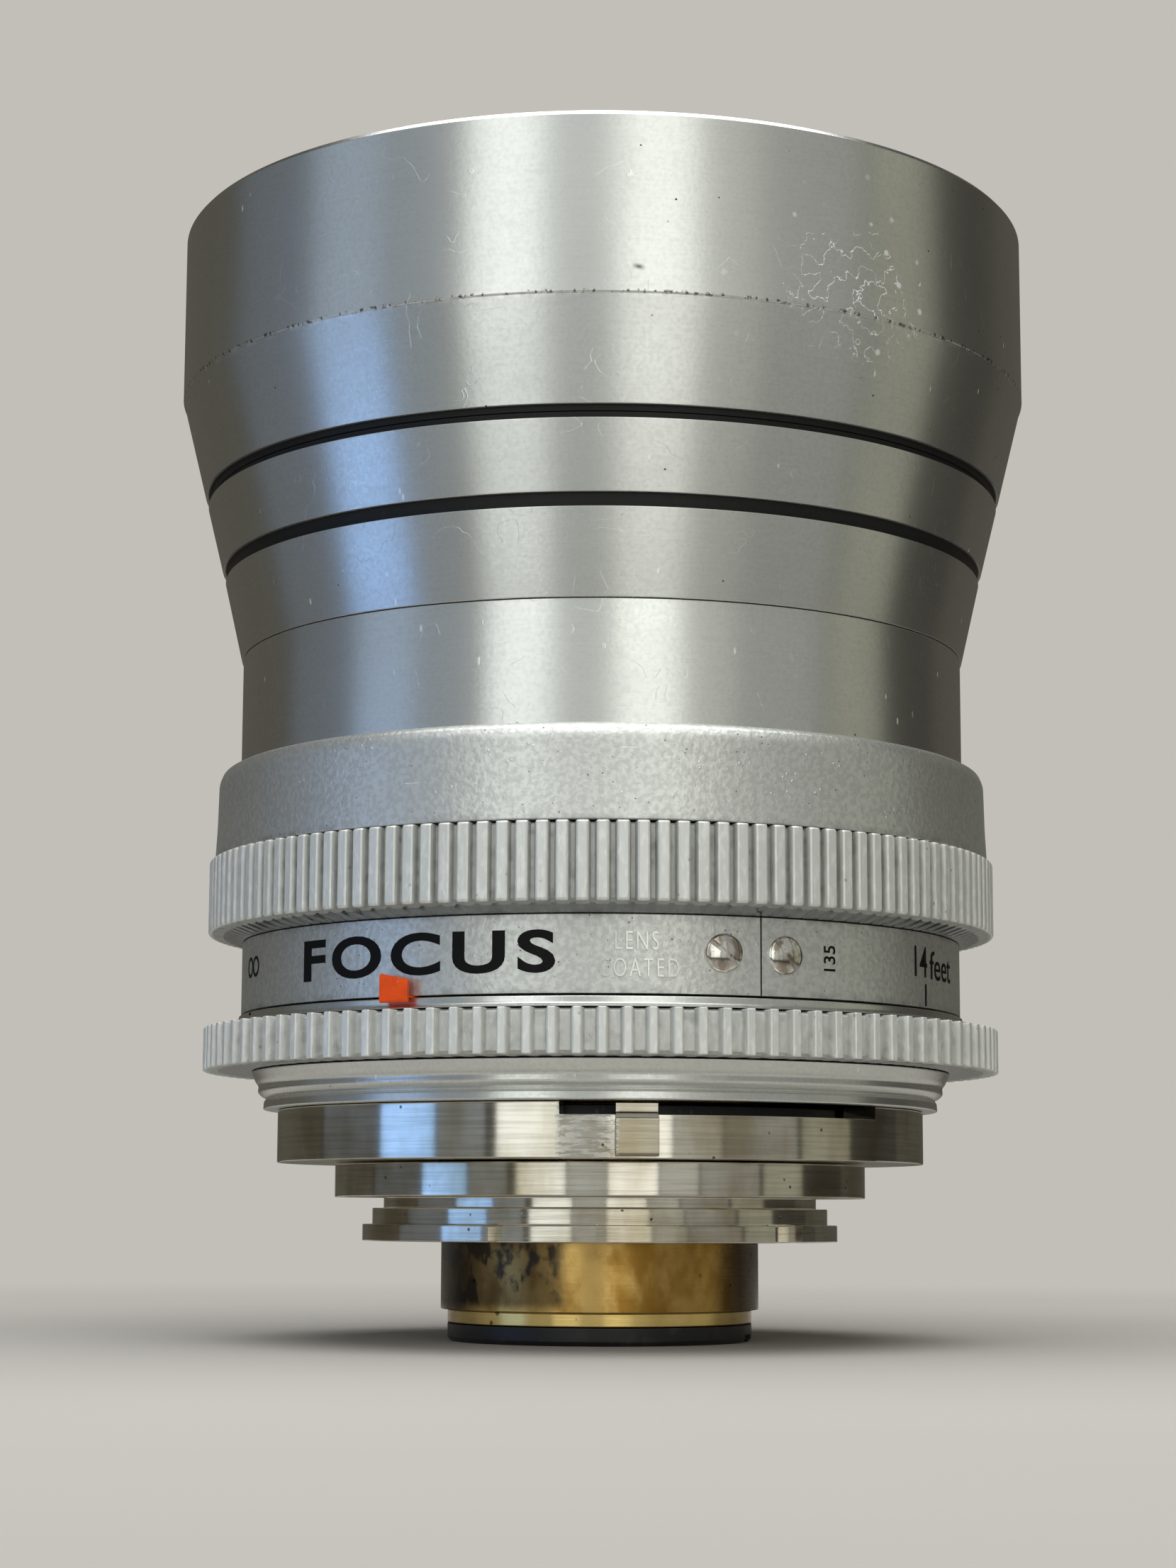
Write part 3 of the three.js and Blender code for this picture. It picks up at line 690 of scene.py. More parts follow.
class LENS_OT_outer_barrel(LensStep, bpy.types.Operator):
    """Builds the flared front barrel with its filter thread, the taper under it and the neck"""

    bl_idname = "lens.outer_barrel"
    bl_label = "Outer barrel"

    def execute(self, context):
        settings = context.scene.portrait_lens
        metal = finish_of(settings, turned_aluminium, "turned aluminium", 0.12, RIM)
        radius, low, high = extent("front_barrel")
        shoulder = cone_height(radius) - 0.33
        lip = low + 0.35
        mouth = high - 0.5
        thread = [(r, mouth - 0.2 - THREAD_PITCH * (k + half))
                  for k in range(THREAD_TURNS) for half, r in ((0, 28.88), (0.5, 29.25))]
        front = [
            (27.6, low), (cone_radius(low) - GROOVE, low), (cone_radius(lip) - GROOVE, lip),
            (cone_radius(lip), lip), (cone_radius(shoulder), shoulder), (radius, shoulder + 0.07),
            (radius, high - 0.32), (radius - 0.28, high), (29.75, high), (29.4, high - 0.3),
            (29.4, mouth), *thread, (29.0, 75.3), (29.0, 73.0), (27.6, 73.0)]
        ring_piece("front_barrel", rounded(front, 0.05, 2), metal, 360)

        _, low, high = extent("taper_barrel")
        step = high - 0.45
        taper = [
            (24.2, low), (cone_radius(low) + 0.1, low), (cone_radius(54.4), 54.4),
            (cone_radius(54.4) - GROOVE, 54.4), (cone_radius(55.3) - GROOVE, 55.3),
            (cone_radius(55.3), 55.3), (cone_radius(step), step), (cone_radius(step) - GROOVE, step),
            (cone_radius(high) - GROOVE, high), (24.2, high)]
        ring_piece("taper_barrel", rounded(taper, 0.05, 2), metal, 360)

        radius, low, high = extent("neck_tube")
        neck = [(24.9, low), (radius, low), (radius, high), (21.2, high), (21.2, 44), (24.9, 44)]
        ring_piece("neck_tube", rounded(neck, 0.05, 2), metal, 360)
        return {"FINISHED"}


# ---- inside the front --------------------------------------------------------------------------

def line_with_ribs(start, end, count, height):
    """A straight run from start to end, broken into ribs that stand proud on its left side."""
    start, end = np.array(start, float), np.array(end, float)
    along = (end - start) / np.linalg.norm(end - start)
    normal = np.array([along[1], -along[0]])
    t = np.linspace(0, 1, 2 * count + 1)[:, None]
    proud = np.tile([0.0, height], count + 1)[: 2 * count + 1, None]
    return (start + (end - start) * t + normal * proud).tolist()


def notched_ring(section, notch, angles, half):
    """A ring whose section changes to another over short spans, for a spanner's two pins."""
    turns, inside = stepped_turn([(a - half, a + half) for a in angles], FINE_ROUND)
    return swept(section + inside[:, None, None] * (notch - section), turns)


def stepped_turn(spans, steps=ROUND, ramp=0.08):
    """Angles all the way round with close pairs at the ends of each span, and 1 inside a span."""
    ends = [edge for start, end in spans for edge in (start - ramp, start, end, end + ramp)]
    turns = np.unique(np.round(np.mod(np.concatenate([full_turn(steps), ends]), 360), 4))
    inside = np.zeros(len(turns))
    for start, end in spans:
        inside[np.mod(turns - start + 1e-3, 360) <= end - start + 2e-3] = 1
    return turns, inside


class LENS_OT_front_fittings(LensStep, bpy.types.Operator):
    """Builds the ribbed baffle, the front cell, its retaining ring and the spacer between lenses"""

    bl_idname = "lens.front_fittings"
    bl_label = "Front fittings"

    def execute(self, context):
        paint = finish_of(context.scene.portrait_lens, black_paint, "black paint")
        ribs = line_with_ribs((28, 74), (21.2, 70.55), 12, 0.1)
        baffle = [(20.9, 69.55), (24, 69.55), (27.4, 72.2), (27.4, 73.05), (28.8, 73.05), (28.8, 74),
                  *ribs, (20.9, 70.4)]
        ring_piece("front_baffle", rounded(baffle, 0.03, 1), paint, sharp=50)
        cell = [(19.4, 48.7), (23, 48.7), (23, 69.5), (20.6, 69.5), (20.6, 61), (19.4, 61)]
        ring_piece("front_cell", rounded(cell, 0.06, 2), paint, FINE_ROUND)
        spacer = [(17.6, 58.2), (19, 58.2), (19, 61.2), (17.6, 61.2)]
        ring_piece("spacer_ring", rounded(spacer, 0.1, 2), paint, FINE_ROUND)
        section = rounded([(18.6, 67.3), (20.4, 67.3), (20.4, 69.3), (19.2, 69.3)], 0.08, 2)
        notch = np.minimum(section, [30, 68.5])
        shape = notched_ring(section, notch, (20, 200), 3.2)
        piece("front_retaining_ring_finished", make_mesh("front_retaining_ring", shape), paint,
              "front_retaining_ring")
        return {"FINISHED"}


# ---- lenses ------------------------------------------------------------------------------------

# node: front curve, rear curve, edge radius, edge heights; a positive curve bulges outwards
LENSES = {
    "front_lens": (42, 160, 20.3, (62.4, 65.2)),
    "crown_lens": (48, 62, 19, (53.4, 56.2)),
    "flint_lens": (-62.2, -300, 19, (48.8, 53.2)),
    "rear_lens": (-24, 40, 9.3, (3.2, 5.2)),
    "inner_lens": (30, -22, 9.3, (9.6, 11.2)),
}


def dome(curve, edge):
    """Radii from the axis to the edge, and how far a sphere of a radius has risen above its edge
    there: sqrt(R^2 - r^2) - sqrt(R^2 - e^2), with the sign of the curve."""
    r = edge * np.linspace(0, 1, GLASS_STEPS)
    rise = np.sqrt(curve**2 - r**2) - math.sqrt(curve**2 - edge**2)
    return r, np.sign(curve) * rise


class LENS_OT_lenses(LensStep, bpy.types.Operator):
    """Builds the five glass elements as closed solids with ground, bevelled edges"""

    bl_idname = "lens.lenses"
    bl_label = "Lenses"

    def execute(self, context):
        glass = finish_of(context.scene.portrait_lens, coated_glass, "coated glass")
        for node, (front, rear, edge, (low, high)) in LENSES.items():
            bevel = 0.15
            r_low, rise_low = dome(rear, edge - bevel)
            r_high, rise_high = dome(front, edge - bevel)
            lower = np.stack([r_low, low - rise_low], axis=-1)
            upper = np.stack([r_high, high + rise_high], axis=-1)[::-1]
            sides = [(edge, low + bevel), (edge, high - bevel)]
            mesh = make_mesh(node, lathe(np.vstack([lower, sides, upper]), 128), 30)
            piece(f"{node}_finished", mesh, glass, node)
        return {"FINISHED"}


# ---- focusing ring -----------------------------------------------------------------------------

SEAM_ANGLE = 23.4        # where the two ends of the scale band meet
SEAM_HALF = 0.13


class LENS_OT_focus_ring(LensStep, bpy.types.Operator):
    """Builds the knurled focusing grip, the shoulder above it and the scale band below it"""

    bl_idname = "lens.focus_ring"
    bl_label = "Focusing ring"

    def execute(self, context):
        settings = context.scene.portrait_lens
        radius, low, high = extent("focus_grip")
        knurl = finish_of(settings, knurled_aluminium, "focus grip aluminium", radius, False)
        crest = rounded([
            (24.8, low), (25.9, low), (radius - 0.6, low + 0.57), (radius - 0.1, low + 0.57),
            (radius, low + 0.7), (radius, high - 0.1), (radius - 0.15, high), (24.8, high)], 0.06, 2)
        valley = rounded([
            (24.8, low), (25.9, low), (radius - 0.75, low + 0.67), (radius - 0.6, low + 0.73),
            (radius - 0.55, low + 0.8), (radius - 0.55, high - 0.3), (radius - 0.65, high - 0.1),
            (24.8, high)], 0.06, 2)
        turns, rise = knurl_turn(settings.upper_teeth, 0.58, 0.2, 0.11, 0.12)
        sections = valley + rise[:, None, None] * (crest - valley)
        piece("focus_grip_finished", make_mesh("focus_grip", swept(sections, turns), 32), knurl,
              "focus_grip")

        blasted = finish_of(settings, blasted_aluminium, "shoulder aluminium", (33.9,))
        shoulder = rounded([
            (26.55, 33.85), (27.97, 33.85), (27.84, 36.3), (27.77, 39.4), (27.5, 40.05), (27, 40.3),
            (26.55, 40.3)], (0.05, 0.12, 0.5, 0.4, 0.3, 0.2, 0.05), 4)
        ring_piece("shoulder_ring", shoulder, blasted)

        radius, low, high = extent("scale_band")
        plate = finish_of(settings, blasted_aluminium, "scale band aluminium", (low, high))
        band = rounded(box_corners(25.3, radius, low - 0.03, high), 0.05, 2)
        turns = np.linspace(SEAM_ANGLE + SEAM_HALF, SEAM_ANGLE + 360 - SEAM_HALF, ROUND)
        piece("scale_band_finished", make_mesh("scale_band", swept(band, turns, closed=False)), plate,
              "scale_band")
        return {"FINISHED"}


# ---- marks on the scale band -------------------------------------------------------------------

INFINITY_ANGLE = -69.3
NEAREST = 14             # feet, at the end of the ring's turn
FOCUS_TURN = 232.2
# text, angle, height, cap height, width, turn
SMALL_MARKS = (
    ("135", 35.2, 25.57, 0.95, 1.68, 90),
    ("14", 57, 26.0, 2.1, 1.85, 0),
    ("feet", 64.9, 25.85, 1.95, 4.4, 0),
)
FEET = (17, 20, 25, 30, 50, 100)
WORD_ANGLES = (-50.5, -6.7)
# text, height, middle and width in degrees
RAISED_LINES = (("LENS", 26.3, 4.9, 6.2), ("COATED", 24.56, 5.2, 11.4))
RAISED = 0.14            # how thick the raised print is
INK = 0.03               # how thick the filled marks are
SINK = 0.01              # how deep the marks reach into the band
TICK_Z, NUMBER_Z = 23.74, 26.0


class LENS_OT_marks(LensStep, bpy.types.Operator):
    """Builds the filled letters, the distance scale and the raised small print of the scale band"""

    bl_idname = "lens.marks"
    bl_label = "Scale marks"

    def execute(self, context):
        settings = context.scene.portrait_lens
        radius = extent("scale_band")[0]
        ink = finish_of(settings, engraved_paint, "engraved paint")
        raised_metal = finish_of(settings, turned_aluminium, "raised print aluminium", ALL_METAL)

        on_band = radius - SINK
        spread = math.radians(1) * radius   # millimetres round the band in a degree
        word = lettering("FOCUS", 2.6, (WORD_ANGLES[1] - WORD_ANGLES[0]) * spread, weight=0.1, spacing=1.2)
        self.write("focus_word", wrapped(word, on_band, sum(WORD_ANGLES) / 2, 25.6), ink)

        small = [wrapped(lettering(text, size, wide, weight=0.01, turn=turn), on_band, angle, z)
                 for text, angle, z, size, wide, turn in SMALL_MARKS]
        tick = bar(0.24, 1.5, INK)
        for feet in (NEAREST, *FEET):
            angle = INFINITY_ANGLE - FOCUS_TURN * NEAREST / feet
            small.append(wrapped(tick, on_band, angle, TICK_Z))
            if feet in FEET:
                number = lettering(str(feet), 2.1, 0.95 * len(str(feet)), weight=0.01)
                small.append(wrapped(number, on_band, angle, NUMBER_Z))
        for offset in (-0.72, 0.72):   # two loops side by side make the infinity sign
            loop = swept(rounded(box_corners(0.5, 0.74, 0, INK), 0.01, 1), full_turn(32))
            loop[0][:, 0] += offset
            small.append(wrapped(loop, on_band, INFINITY_ANGLE, 25.85))
        self.write("distance_scale", merged(*small), ink)

        raised = []
        for text, z, angle, wide in RAISED_LINES:
            line = lettering(text, 1.23, wide * spread, RAISED, -0.01, spacing=1.25)
            raised.append(wrapped(line, radius - 2 * SINK, angle, z))
        self.write("raised_print", merged(*raised), raised_metal, "blasted_aluminium")
        return {"FINISHED"}

    @staticmethod
    def write(name, shape, material, slot="black_paint"):
        piece(name, make_mesh(name, shape, 30), material, "scale_band", replaces=False)


# ---- screws ------------------------------------------------------------------------------------

BAND_SCREWS = (("band_screw_1", 17.6, -39), ("band_screw_2", 27.3, -52))
BAND_SCREW_Z = 25.6
BAND_SCREW_SEAT = 25.86  # radius at which the heads sit
MOUNT_SCREW_R = 13.8
MOUNT_SCREW_ANGLES = (-52, 38, 128, 218)


def block(width, height, depth, centre):
    """A box with its middle at a point."""
    signs = np.array([[x, y, z] for x in (-1, 1) for y in (-1, 1) for z in (-1, 1)])
    faces = [[0, 1, 3, 2], [4, 6, 7, 5], [0, 4, 5, 1], [2, 3, 7, 6], [0, 2, 6, 4], [1, 5, 7, 3]]
    return signs * np.array([width, height, depth]) / 2 + np.array(centre), faces


class LENS_OT_screws(LensStep, bpy.types.Operator):
    """Builds the two domed screws of the scale band and the four flat ones of the mount"""

    bl_idname = "lens.screws"
    bl_label = "Screws"

    def execute(self, context):
        steel = finish_of(context.scene.portrait_lens, screw_steel, "screw steel")
        r = np.linspace(1.2, 0, 12)
        top = np.stack([r, 0.24 + 0.24 * (1 - (r / 1.2) ** 2)], axis=-1)
        head = lathe(np.vstack([[(0, -0.9), (0.6, -0.9), (0.65, -0.8), (0.65, 0), (1.25, 0), (1.25, 0.18)],
                                top]), 72)
        for node, angle, turn in BAND_SCREWS:
            place = (BAND_SCREW_SEAT, angle, BAND_SCREW_Z, turn)
            slot = placed_lathe(block(4, 0.34, 0.6, (0, 0, 0.52)), *place)
            mesh = carved(make_mesh(node, placed_lathe(head, *place)), [slot])
            piece(f"{node}_finished", mesh, steel, node)

        screw = lathe([
            (0, 7.12), (0.9, 7.12), (1.02, 7.2), (1.02, 7.85), (0.6, 7.9), (0.6, 12.2), (0, 12.2)], 48)
        for k, angle in enumerate(MOUNT_SCREW_ANGLES):
            centre = polar(MOUNT_SCREW_R, angle, 0)
            t = math.radians(25 + 50 * k)
            turn = np.array([[math.cos(t), math.sin(t), 0], [-math.sin(t), math.cos(t), 0], [0, 0, 1]])
            slot_points, faces = block(3, 0.28, 0.6, (0, 0, 7.1))
            slot = (slot_points @ turn + centre, faces)
            mesh = carved(make_mesh("mount_screw", (screw[0] + centre, screw[1])), [slot])
            node = f"mount_screw_{k + 1}"
            piece(f"{node}_finished", mesh, steel, node)
        return {"FINISHED"}


# ---- mount -------------------------------------------------------------------------------------

LUG_SPANS = ((-100, -26.3), (-1.1, 44.2), (54.6, 135), (150, 225))
SLOT_SPAN = (-6.8, 53.2)
SLOT_FLOOR_Z = 15.3


class LENS_OT_mount(LensStep, bpy.types.Operator):
    """Builds the bayonet ring with its lugs, the register ring, the slotted ring and the collar"""

    bl_idname = "lens.mount"
    bl_label = "Mount"

    def execute(self, context):
        settings = context.scene.portrait_lens
        steel = finish_of(settings, worn_steel, "worn steel")
        lug = rounded([
            (12, 7), (17, 7), (17, 8.16), (16.3, 8.16), (16.3, 9.3), (15.5, 9.3), (15.5, 10.05),
            (17.1, 10.05), (17.1, 12.3), (12, 12.3)], 0.07, 2)
        plain = rounded([
            (12, 7), (15.9, 7), (15.9, 8.16), (16.3, 8.17), (16.3, 9.3), (15.5, 9.3), (15.5, 10.05),
            (17.1, 10.05), (17.1, 12.3), (12, 12.3)], 0.07, 2)
        turns, inside = stepped_turn(LUG_SPANS)
        sections = plain + inside[:, None, None] * (lug - plain)
        bores = []
        for angle in MOUNT_SCREW_ANGLES:
            shape = lathe([(0, 6), (1.35, 6), (1.35, 8.1), (0.8, 8.1), (0.8, 13), (0, 13)], 40)
            bores.append((shape[0] + polar(MOUNT_SCREW_R, angle, 0), shape[1]))
        mesh = carved(make_mesh("bayonet_ring", swept(sections, turns)), bores)
        piece("bayonet_ring_finished", mesh, steel, "bayonet_ring")

        radius, low, high = extent("register_ring")
        register = [(17.2, low), (radius, low), (radius, high), (17.2, high)]
        ring_piece("register_ring", rounded(register, 0.09, 3), steel)

        radius, low, high = extent("mount_ring")
        corners = [(14, low), (radius, low), (radius, high), (20.6, high), (20.6, 13.57), (14, 13.57)]
        tall = rounded(corners, 0.08, 3)
        cut = rounded([(r, SLOT_FLOOR_Z if z == high else z) for r, z in corners], 0.05, 3)
        turns, inside = stepped_turn((SLOT_SPAN,))
        shape = swept(tall + inside[:, None, None] * (cut - tall), turns)
        piece("mount_ring_finished", make_mesh("mount_ring", shape), steel, "mount_ring")

        collar_metal = finish_of(settings, turned_aluminium, "collar aluminium", ALL_METAL)
        collar = rounded([
            (22.9, 16.2), (24.2, 16.2), (24.15, 16.75), (24, 16.95), (24.35, 17.15), (24.6, 17.4),
            (24.55, 17.85), (24.75, 18.1), (25.1, 18.84), (22.9, 18.84)],
            (0.05, 0.12, 0.05, 0.05, 0.12, 0.25, 0.2, 0.1, 0.1, 0.05), 3)
        ring_piece("rear_collar", collar, collar_metal)
        return {"FINISHED"}


class LENS_OT_fixed_grip(LensStep, bpy.types.Operator):
    """Builds the knurled fixed grip and the index ring that closes it"""

    bl_idname = "lens.fixed_grip"
    bl_label = "Fixed grip"

    def execute(self, context):
        settings = context.scene.portrait_lens
        radius, low, high = extent("mount_grip")
        knurl = finish_of(settings, knurled_aluminium, "fixed grip aluminium", radius, True)
        crest = rounded([
            (22.9, low), (radius - 0.65, low), (radius - 0.05, low), (radius, low + 0.05),
            (radius, high - 0.05), (radius - 0.05, high), (radius - 0.65, high), (22.9, high)], 0.05, 2)
        floor = radius - 0.6
        valley = rounded([
            (22.9, low), (floor - 0.35, low + 0.05), (floor - 0.1, low + 0.2), (floor, low + 0.25),
            (floor, high - 0.25), (floor - 0.1, high - 0.2), (floor - 0.35, high - 0.05), (22.9, high)],
            0.05, 2)
        turns, rise = knurl_turn(settings.lower_teeth, 0.36, 0.42, 0.11, 0.1)
        sections = valley + rise[:, None, None] * (crest - valley)
        piece("mount_grip_finished", make_mesh("mount_grip", swept(sections, turns), 32), knurl,
              "mount_grip")

        metal = finish_of(settings, turned_aluminium, "index aluminium", ALL_METAL)
        radius, low, high = extent("index_ring")
        index = rounded([
            (22.9, low), (radius, low), (radius - 0.1, low + 0.06), (26.3, 22.1), (26.1, 22.3),
            (26.05, high + 0.03), (22.9, high)], (0.03, 0.03, 0.04, 0.12, 0.12, 0.08, 0.03), 3)
        ring_piece("index_ring", index, metal)
        ink = finish_of(settings, engraved_paint, "engraved paint")
        mark = wrapped(bar(0.5, 0.45, 0.03), 26.05, INFINITY_ANGLE, 22.45)
        piece("index_mark", make_mesh("index_mark", mark), ink, "index_ring", replaces=False)
        return {"FINISHED"}


# ---- aperture ring and pointers ----------------------------------------------------------------

TAB_ANGLES = (2.2, 9)
POINTERS = (("pointer_near", -30.6), ("pointer_far", -108))
POINTER_HALF = 2.35
SHOE_HALF = 7
POINTER_PLATE = (22.76, 22.88)          # heights of the two faces of the sheet under the flags
SLANT = (0.12, 0.45)                    # how much lower a flag's top is at one end, and the rest


def sector(corners, start, end, steps=14, ease=0.05):
    """A short arc of a ring with flat ends."""
    return swept(rounded(corners, ease, 2), np.linspace(start, end, steps), closed=False)


class LENS_OT_aperture(LensStep, bpy.types.Operator):
    """Builds the aperture ring with its square coupling tab, and the two orange depth pointers"""

    bl_idname = "lens.aperture"
    bl_label = "Aperture coupling"

    def execute(self, context):
        settings = context.scene.portrait_lens
        steel = finish_of(settings, worn_steel, "worn steel")
        ring = swept(rounded(box_corners(18.4, 20.2, 13.87, 16.05), 0.08, 2), full_turn(FINE_ROUND))
        dark = finish_of(settings, blackened_steel, "blackened steel")
        piece("aperture_ring_finished", make_mesh("aperture_ring", ring), dark, "aperture_ring")
        neck = sector(box_corners(19.5, 23.4, 15.42, 16.05), *TAB_ANGLES)
        tab = sector([(23.36, 12.6), (23.68, 12.6), (23.75, 12.75), (23.75, 15.02), (23.45, 15.38),
                      (23.36, 15.4)], *TAB_ANGLES)
        made = piece("aperture_tab", make_mesh("aperture_tab", merged(neck, tab), 30), steel, "aperture_ring",
                     replaces=False)
        ease_edges(made, 0.05)

        paint = finish_of(settings, orange_paint, "orange paint")
        for node, angle in POINTERS:
            start, end = angle - POINTER_HALF, angle + POINTER_HALF
            shoe = sector(box_corners(23.2, 24.8, *POINTER_PLATE), angle - SHOE_HALF, angle + SHOE_HALF)
            arm = sector(box_corners(24, 26.6, *POINTER_PLATE), start, end)
            flag = sector([(26.45, 22.45), (26.62, 22.45), (26.7, 22.6), (26.7, 24.25), (26.6, 24.5),
                           (26.45, 24.5)], start, end, ease=0.04)
            points = flag[0]
            across = (np.degrees(np.arctan2(points[:, 0], -points[:, 1])) - start) / (end - start)
            points[:, 2] -= np.where(points[:, 2] > 23.5, SLANT[0] + SLANT[1] * across, 0)
            made = piece(f"{node}_finished", make_mesh(node, merged(shoe, arm, flag), 30), paint, node)
            ease_edges(made, 0.07)
        return {"FINISHED"}


def ease_edges(piece_object, width):
    """A live bevel on the sharp edges, in millimetres."""
    bevel = piece_object.modifiers.new("eased edges", "BEVEL")
    bevel.width, bevel.segments = width * MM, 2
    bevel.limit_method, bevel.angle_limit = "ANGLE", math.radians(40)


# ---- rear tube and iris ------------------------------------------------------------------------

class LENS_OT_rear_tube(LensStep, bpy.types.Operator):
    """Builds the brass rear tube, the black ring with spanner notches on its end and the spacer"""

    bl_idname = "lens.rear_tube"
    bl_label = "Rear tube"

    def execute(self, context):
        settings = context.scene.portrait_lens
        metal = finish_of(settings, old_brass, "old brass")
        paint = finish_of(settings, black_paint, "black paint")
        tube = rounded([
            (9.6, 1.3), (10.85, 1.3), (10.85, 2.2), (11.35, 2.25), (11.35, 16.4), (15, 16.4),
            (15, 17.2), (9.6, 17.2)], 0.06, 3)
        ring_piece("rear_tube", tube, metal)
        section = rounded([(8.2, 0), (10.6, 0), (10.85, 0.25), (10.85, 1.25), (8, 1.25)], 0.08, 3)
        notch = np.maximum(section, [0, 0.55])
        shape = notched_ring(section, notch, (75, 255), 4.5)
        piece("rear_retaining_ring_finished", make_mesh("rear_retaining_ring", shape), paint,
              "rear_retaining_ring")
        spacer = rounded(box_corners(8.2, 9.3, 5.5, 9.4), 0.08, 2)
        ring_piece("rear_spacer", spacer, paint, FINE_ROUND)
        return {"FINISHED"}


IRIS_PIECES = {"iris_drive_ring": blackened_steel} | {f"iris_blade_{k}": blackened_steel for k in range(1, 6)}
HIDDEN_TUBES = {"iris_plate": black_paint, "inner_barrel": black_paint, "core_tube": black_paint,
                "guide_key": old_brass, "focus_sleeve": old_brass}


class LENS_OT_inner_works(LensStep, bpy.types.Operator):
    """Gives the iris, its driving ring and the hidden tubes their finishes, on their own meshes"""

    bl_idname = "lens.inner_works"
    bl_label = "Iris and inner tubes"

    def execute(self, context):
        settings = context.scene.portrait_lens
        names = {black_paint: "black paint", blackened_steel: "blackened steel", old_brass: "old brass"}
        for node, maker in {**IRIS_PIECES, **HIDDEN_TUBES}.items():
            materials = frame["nodes"][node].data.materials
            materials.clear()
            materials.append(finish_of(settings, maker, names[maker]))
        return {"FINISHED"}


# ---- stage -------------------------------------------------------------------------------------

STRIP_DISTANCE = 220
WALL = (0, 260)
# name: azimuths from the front towards +X, heights, radiance, colour
STRIPS = {
    "window_left": ((-34, -14), WALL, 1.4, "f2f6f4"),
    "window_frame": ((-13, 2), WALL, 0.5, "f2f6f4"),
    "window_right": ((3, 23), WALL, 1.4, "f6f7f2"),
    "curtain": ((24, 40), WALL, 0.5, "f4f6ee"),
    "wall_right": ((41, 68), WALL, 0.42, "d9dad6"),
    "doorway": ((70, 92), WALL, 0.46, "cfd0bc"),
    "wall_far_right": ((122, 158), WALL, 0.06, "c9c2a8"),
    "wall_back": ((160, 200), WALL, 0.12, "dcd8c4"),
    "sky_low": ((-78, -56), (0, 38), 2.1, "8ab4f0"),
    "sky_high": ((-78, -56), (38, 260), 0.7, "b0c0d4"),
    "sill": ((-55, -38), WALL, 0.4, "c4d0dc"),
    "wall_left": ((-108, -79), WALL, 0.24, "a6b4c8"),
    "wall_far_left": ((-158, -110), WALL, 0.07, "cfc8b0"),
}
CAMERA_PLACE = (-0.966, -215.4, 8.911)
CAMERA_TILT = 98.2509
CAMERA_ROLL = 0.003885
FLOOR_RADII = (45, 190)   # whole inside the first, gone outside the second
FLOOR_STEPS = 64
OVERHEAD = (0, -60, 420)


def strip_light(name, azimuths, heights, radiance, colour, brightness):
    """A tall flat light that faces the axis. Power is radiance x pi x area."""
    light = bpy.data.lights.new(name, "AREA")
    light.shape = "RECTANGLE"
    light.size = 2 * STRIP_DISTANCE * math.tan(math.radians(azimuths[1] - azimuths[0]) / 2) * MM
    light.size_y = (heights[1] - heights[0]) * MM
    light.energy = radiance * brightness * math.pi * light.size * light.size_y
    light.color = shade(colour)
    made = bpy.data.objects.new(name, light)
    bpy.context.scene.collection.objects.link(made)
    a = math.radians(sum(azimuths) / 2)
    right, up = (math.cos(a), math.sin(a), 0), (0, 0, 1)
    outward = (math.sin(a), -math.cos(a), 0)
    place = [STRIP_DISTANCE * MM * c for c in outward[:2]] + [sum(heights) / 2 * MM]
    made.matrix_world = Matrix([[right[k], up[k], outward[k], place[k]] for k in range(3)] + [[0, 0, 0, 1]])
    made.visible_camera = False
    return made


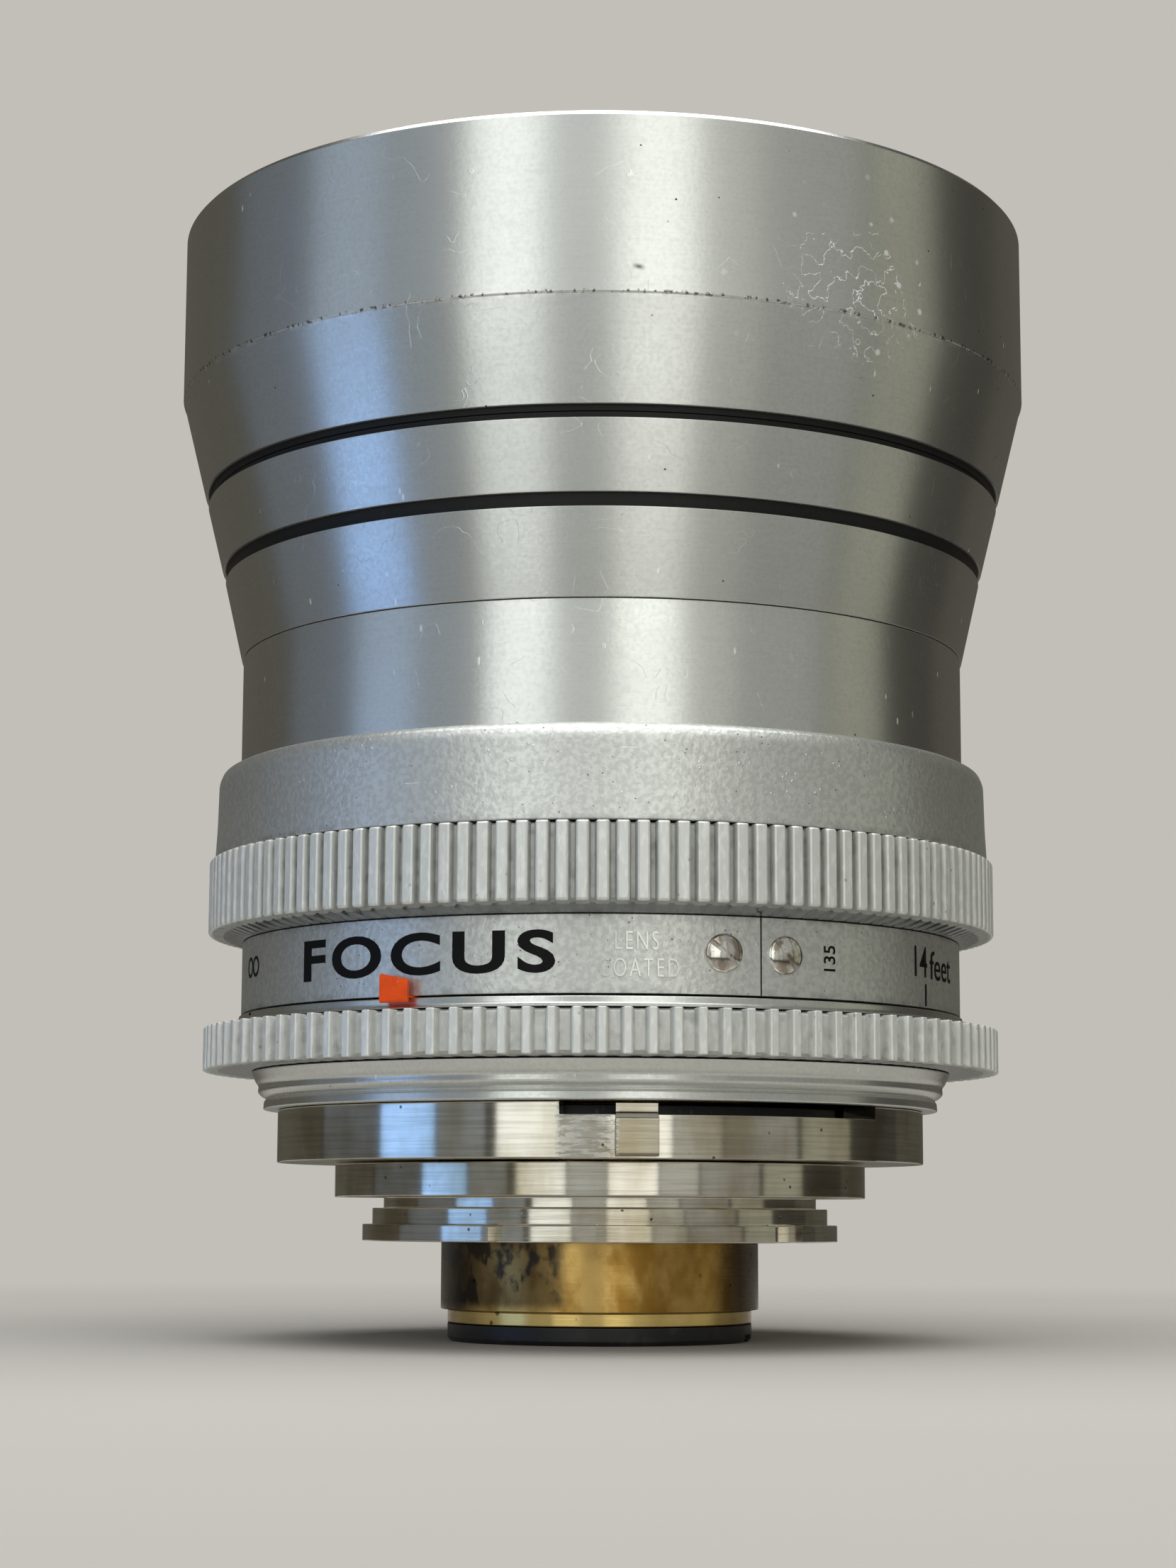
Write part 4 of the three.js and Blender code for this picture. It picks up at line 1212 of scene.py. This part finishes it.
class LENS_OT_stage(LensStep, bpy.types.Operator):
    """Builds the floor, the soft lights, the pale surroundings and the camera"""

    bl_idname = "lens.stage"
    bl_label = "Stage"

    def execute(self, context):
        scene, settings = context.scene, context.scene.portrait_lens
        scene.view_settings.view_transform = "Standard"
        for name, (azimuths, heights, radiance, colour) in STRIPS.items():
            strip_light(name, azimuths, heights, radiance, colour, settings.brightness)
        self.overhead(scene, settings.brightness)
        self.floor(scene, settings)
        self.surroundings(scene)
        self.camera(scene, settings)
        return {"FINISHED"}

    @staticmethod
    def overhead(scene, brightness):
        light = bpy.data.lights.new("overhead", "AREA")
        light.shape, light.size, light.energy = "DISK", 0.5, 2.1 * brightness
        made = bpy.data.objects.new("overhead", light)
        made.location = [c * MM for c in OVERHEAD]
        made.visible_camera = False
        scene.collection.objects.link(made)

    @staticmethod
    def floor(scene, settings):
        s = Finish("pale floor")
        cloud = s.noise(0.02, detail=3)
        colour = s.mix(cloud, settings.floor, tuple(c * 0.92 for c in settings.floor))
        paper = s.node("ShaderNodeBsdfDiffuse", None, {"Color": colour})
        clear = s.node("ShaderNodeBsdfTransparent")
        below = s.node("ShaderNodeNewGeometry", out="Backfacing")
        gone = s.math("MAXIMUM", below, s.rise(s.radius, *FLOOR_RADII))
        surface = s.node("ShaderNodeMixShader", None, {0: gone, 1: paper, 2: clear})
        s.node("ShaderNodeOutputMaterial", None, {"Surface": surface})
        # the last ring lies inside the one before it, where the floor is clear already
        radii = np.array([60, 120, 180, 240, FLOOR_RADII[1] + 10])
        points = polar(radii[None, :], full_turn(FLOOR_STEPS)[:, None], 0.0).reshape(-1, 3)
        faces = grid_faces(FLOOR_STEPS, len(radii), True, False)[:, ::-1].tolist()
        inner = np.arange(FLOOR_STEPS) * len(radii)
        faces += np.stack([inner, np.roll(inner, -1), np.full(FLOOR_STEPS, len(points))], axis=-1).tolist()
        shape = (np.vstack([points, [0, 0, 0]]), faces)
        made = bpy.data.objects.new("floor", make_mesh("floor", shape))
        made.data.materials.append(s.material)
        scene.collection.objects.link(made)

    @staticmethod
    def surroundings(scene):
        scene.world = bpy.data.worlds.new("surroundings")
        s = Shader(scene.world)
        seen = s.node("ShaderNodeLightPath", out="Is Camera Ray")
        dim = s.node("ShaderNodeBackground", None, {"Color": shade("403e39"), "Strength": 1.0})
        pale = s.node("ShaderNodeBackground", None, {"Color": shade("c2bfb8"), "Strength": 1.0})
        surface = s.node("ShaderNodeMixShader", None, {0: seen, 1: dim, 2: pale})
        s.node("ShaderNodeOutputWorld", None, {"Surface": surface})

    @staticmethod
    def camera(scene, settings):
        data = bpy.data.cameras.new("camera")
        data.lens, data.sensor_width = settings.focal, 36
        data.clip_start, data.clip_end = 0.01, 10
        made = bpy.data.objects.new("camera", data)
        scene.collection.objects.link(made)
        turn = Matrix.Rotation(math.radians(CAMERA_TILT), 4, "X") @ Matrix.Rotation(CAMERA_ROLL, 4, "Z")
        made.matrix_world = Matrix.Translation([c * MM for c in CAMERA_PLACE]) @ turn
        scene.camera = made


# ---- add-on ------------------------------------------------------------------------------------

STEPS = (
    LENS_OT_outer_barrel, LENS_OT_front_fittings, LENS_OT_lenses, LENS_OT_focus_ring, LENS_OT_marks,
    LENS_OT_screws, LENS_OT_mount, LENS_OT_fixed_grip, LENS_OT_aperture, LENS_OT_rear_tube,
    LENS_OT_inner_works, LENS_OT_stage)


class LENS_PT_steps(bpy.types.Panel):
    """Lists the building steps and their settings."""

    bl_idname = "LENS_PT_steps"
    bl_label = "Portrait lens"
    bl_space_type = "VIEW_3D"
    bl_region_type = "UI"
    bl_category = "Portrait lens"

    def draw(self, context):
        for name in LensSettings.__annotations__:
            self.layout.prop(context.scene.portrait_lens, name)
        for step in STEPS:
            self.layout.operator(step.bl_idname)


CLASSES = (LensSettings, *STEPS, LENS_PT_steps)


def register():
    for each in CLASSES:
        bpy.utils.register_class(each)
    bpy.types.Scene.portrait_lens = bpy.props.PointerProperty(type=LensSettings)


def unregister():
    del bpy.types.Scene.portrait_lens
    for each in reversed(CLASSES):
        bpy.utils.unregister_class(each)


def main():
    register()
    for step in STEPS:
        group, name = step.bl_idname.split(".")
        getattr(getattr(bpy.ops, group), name)()


if __name__ == "__main__":
    main()
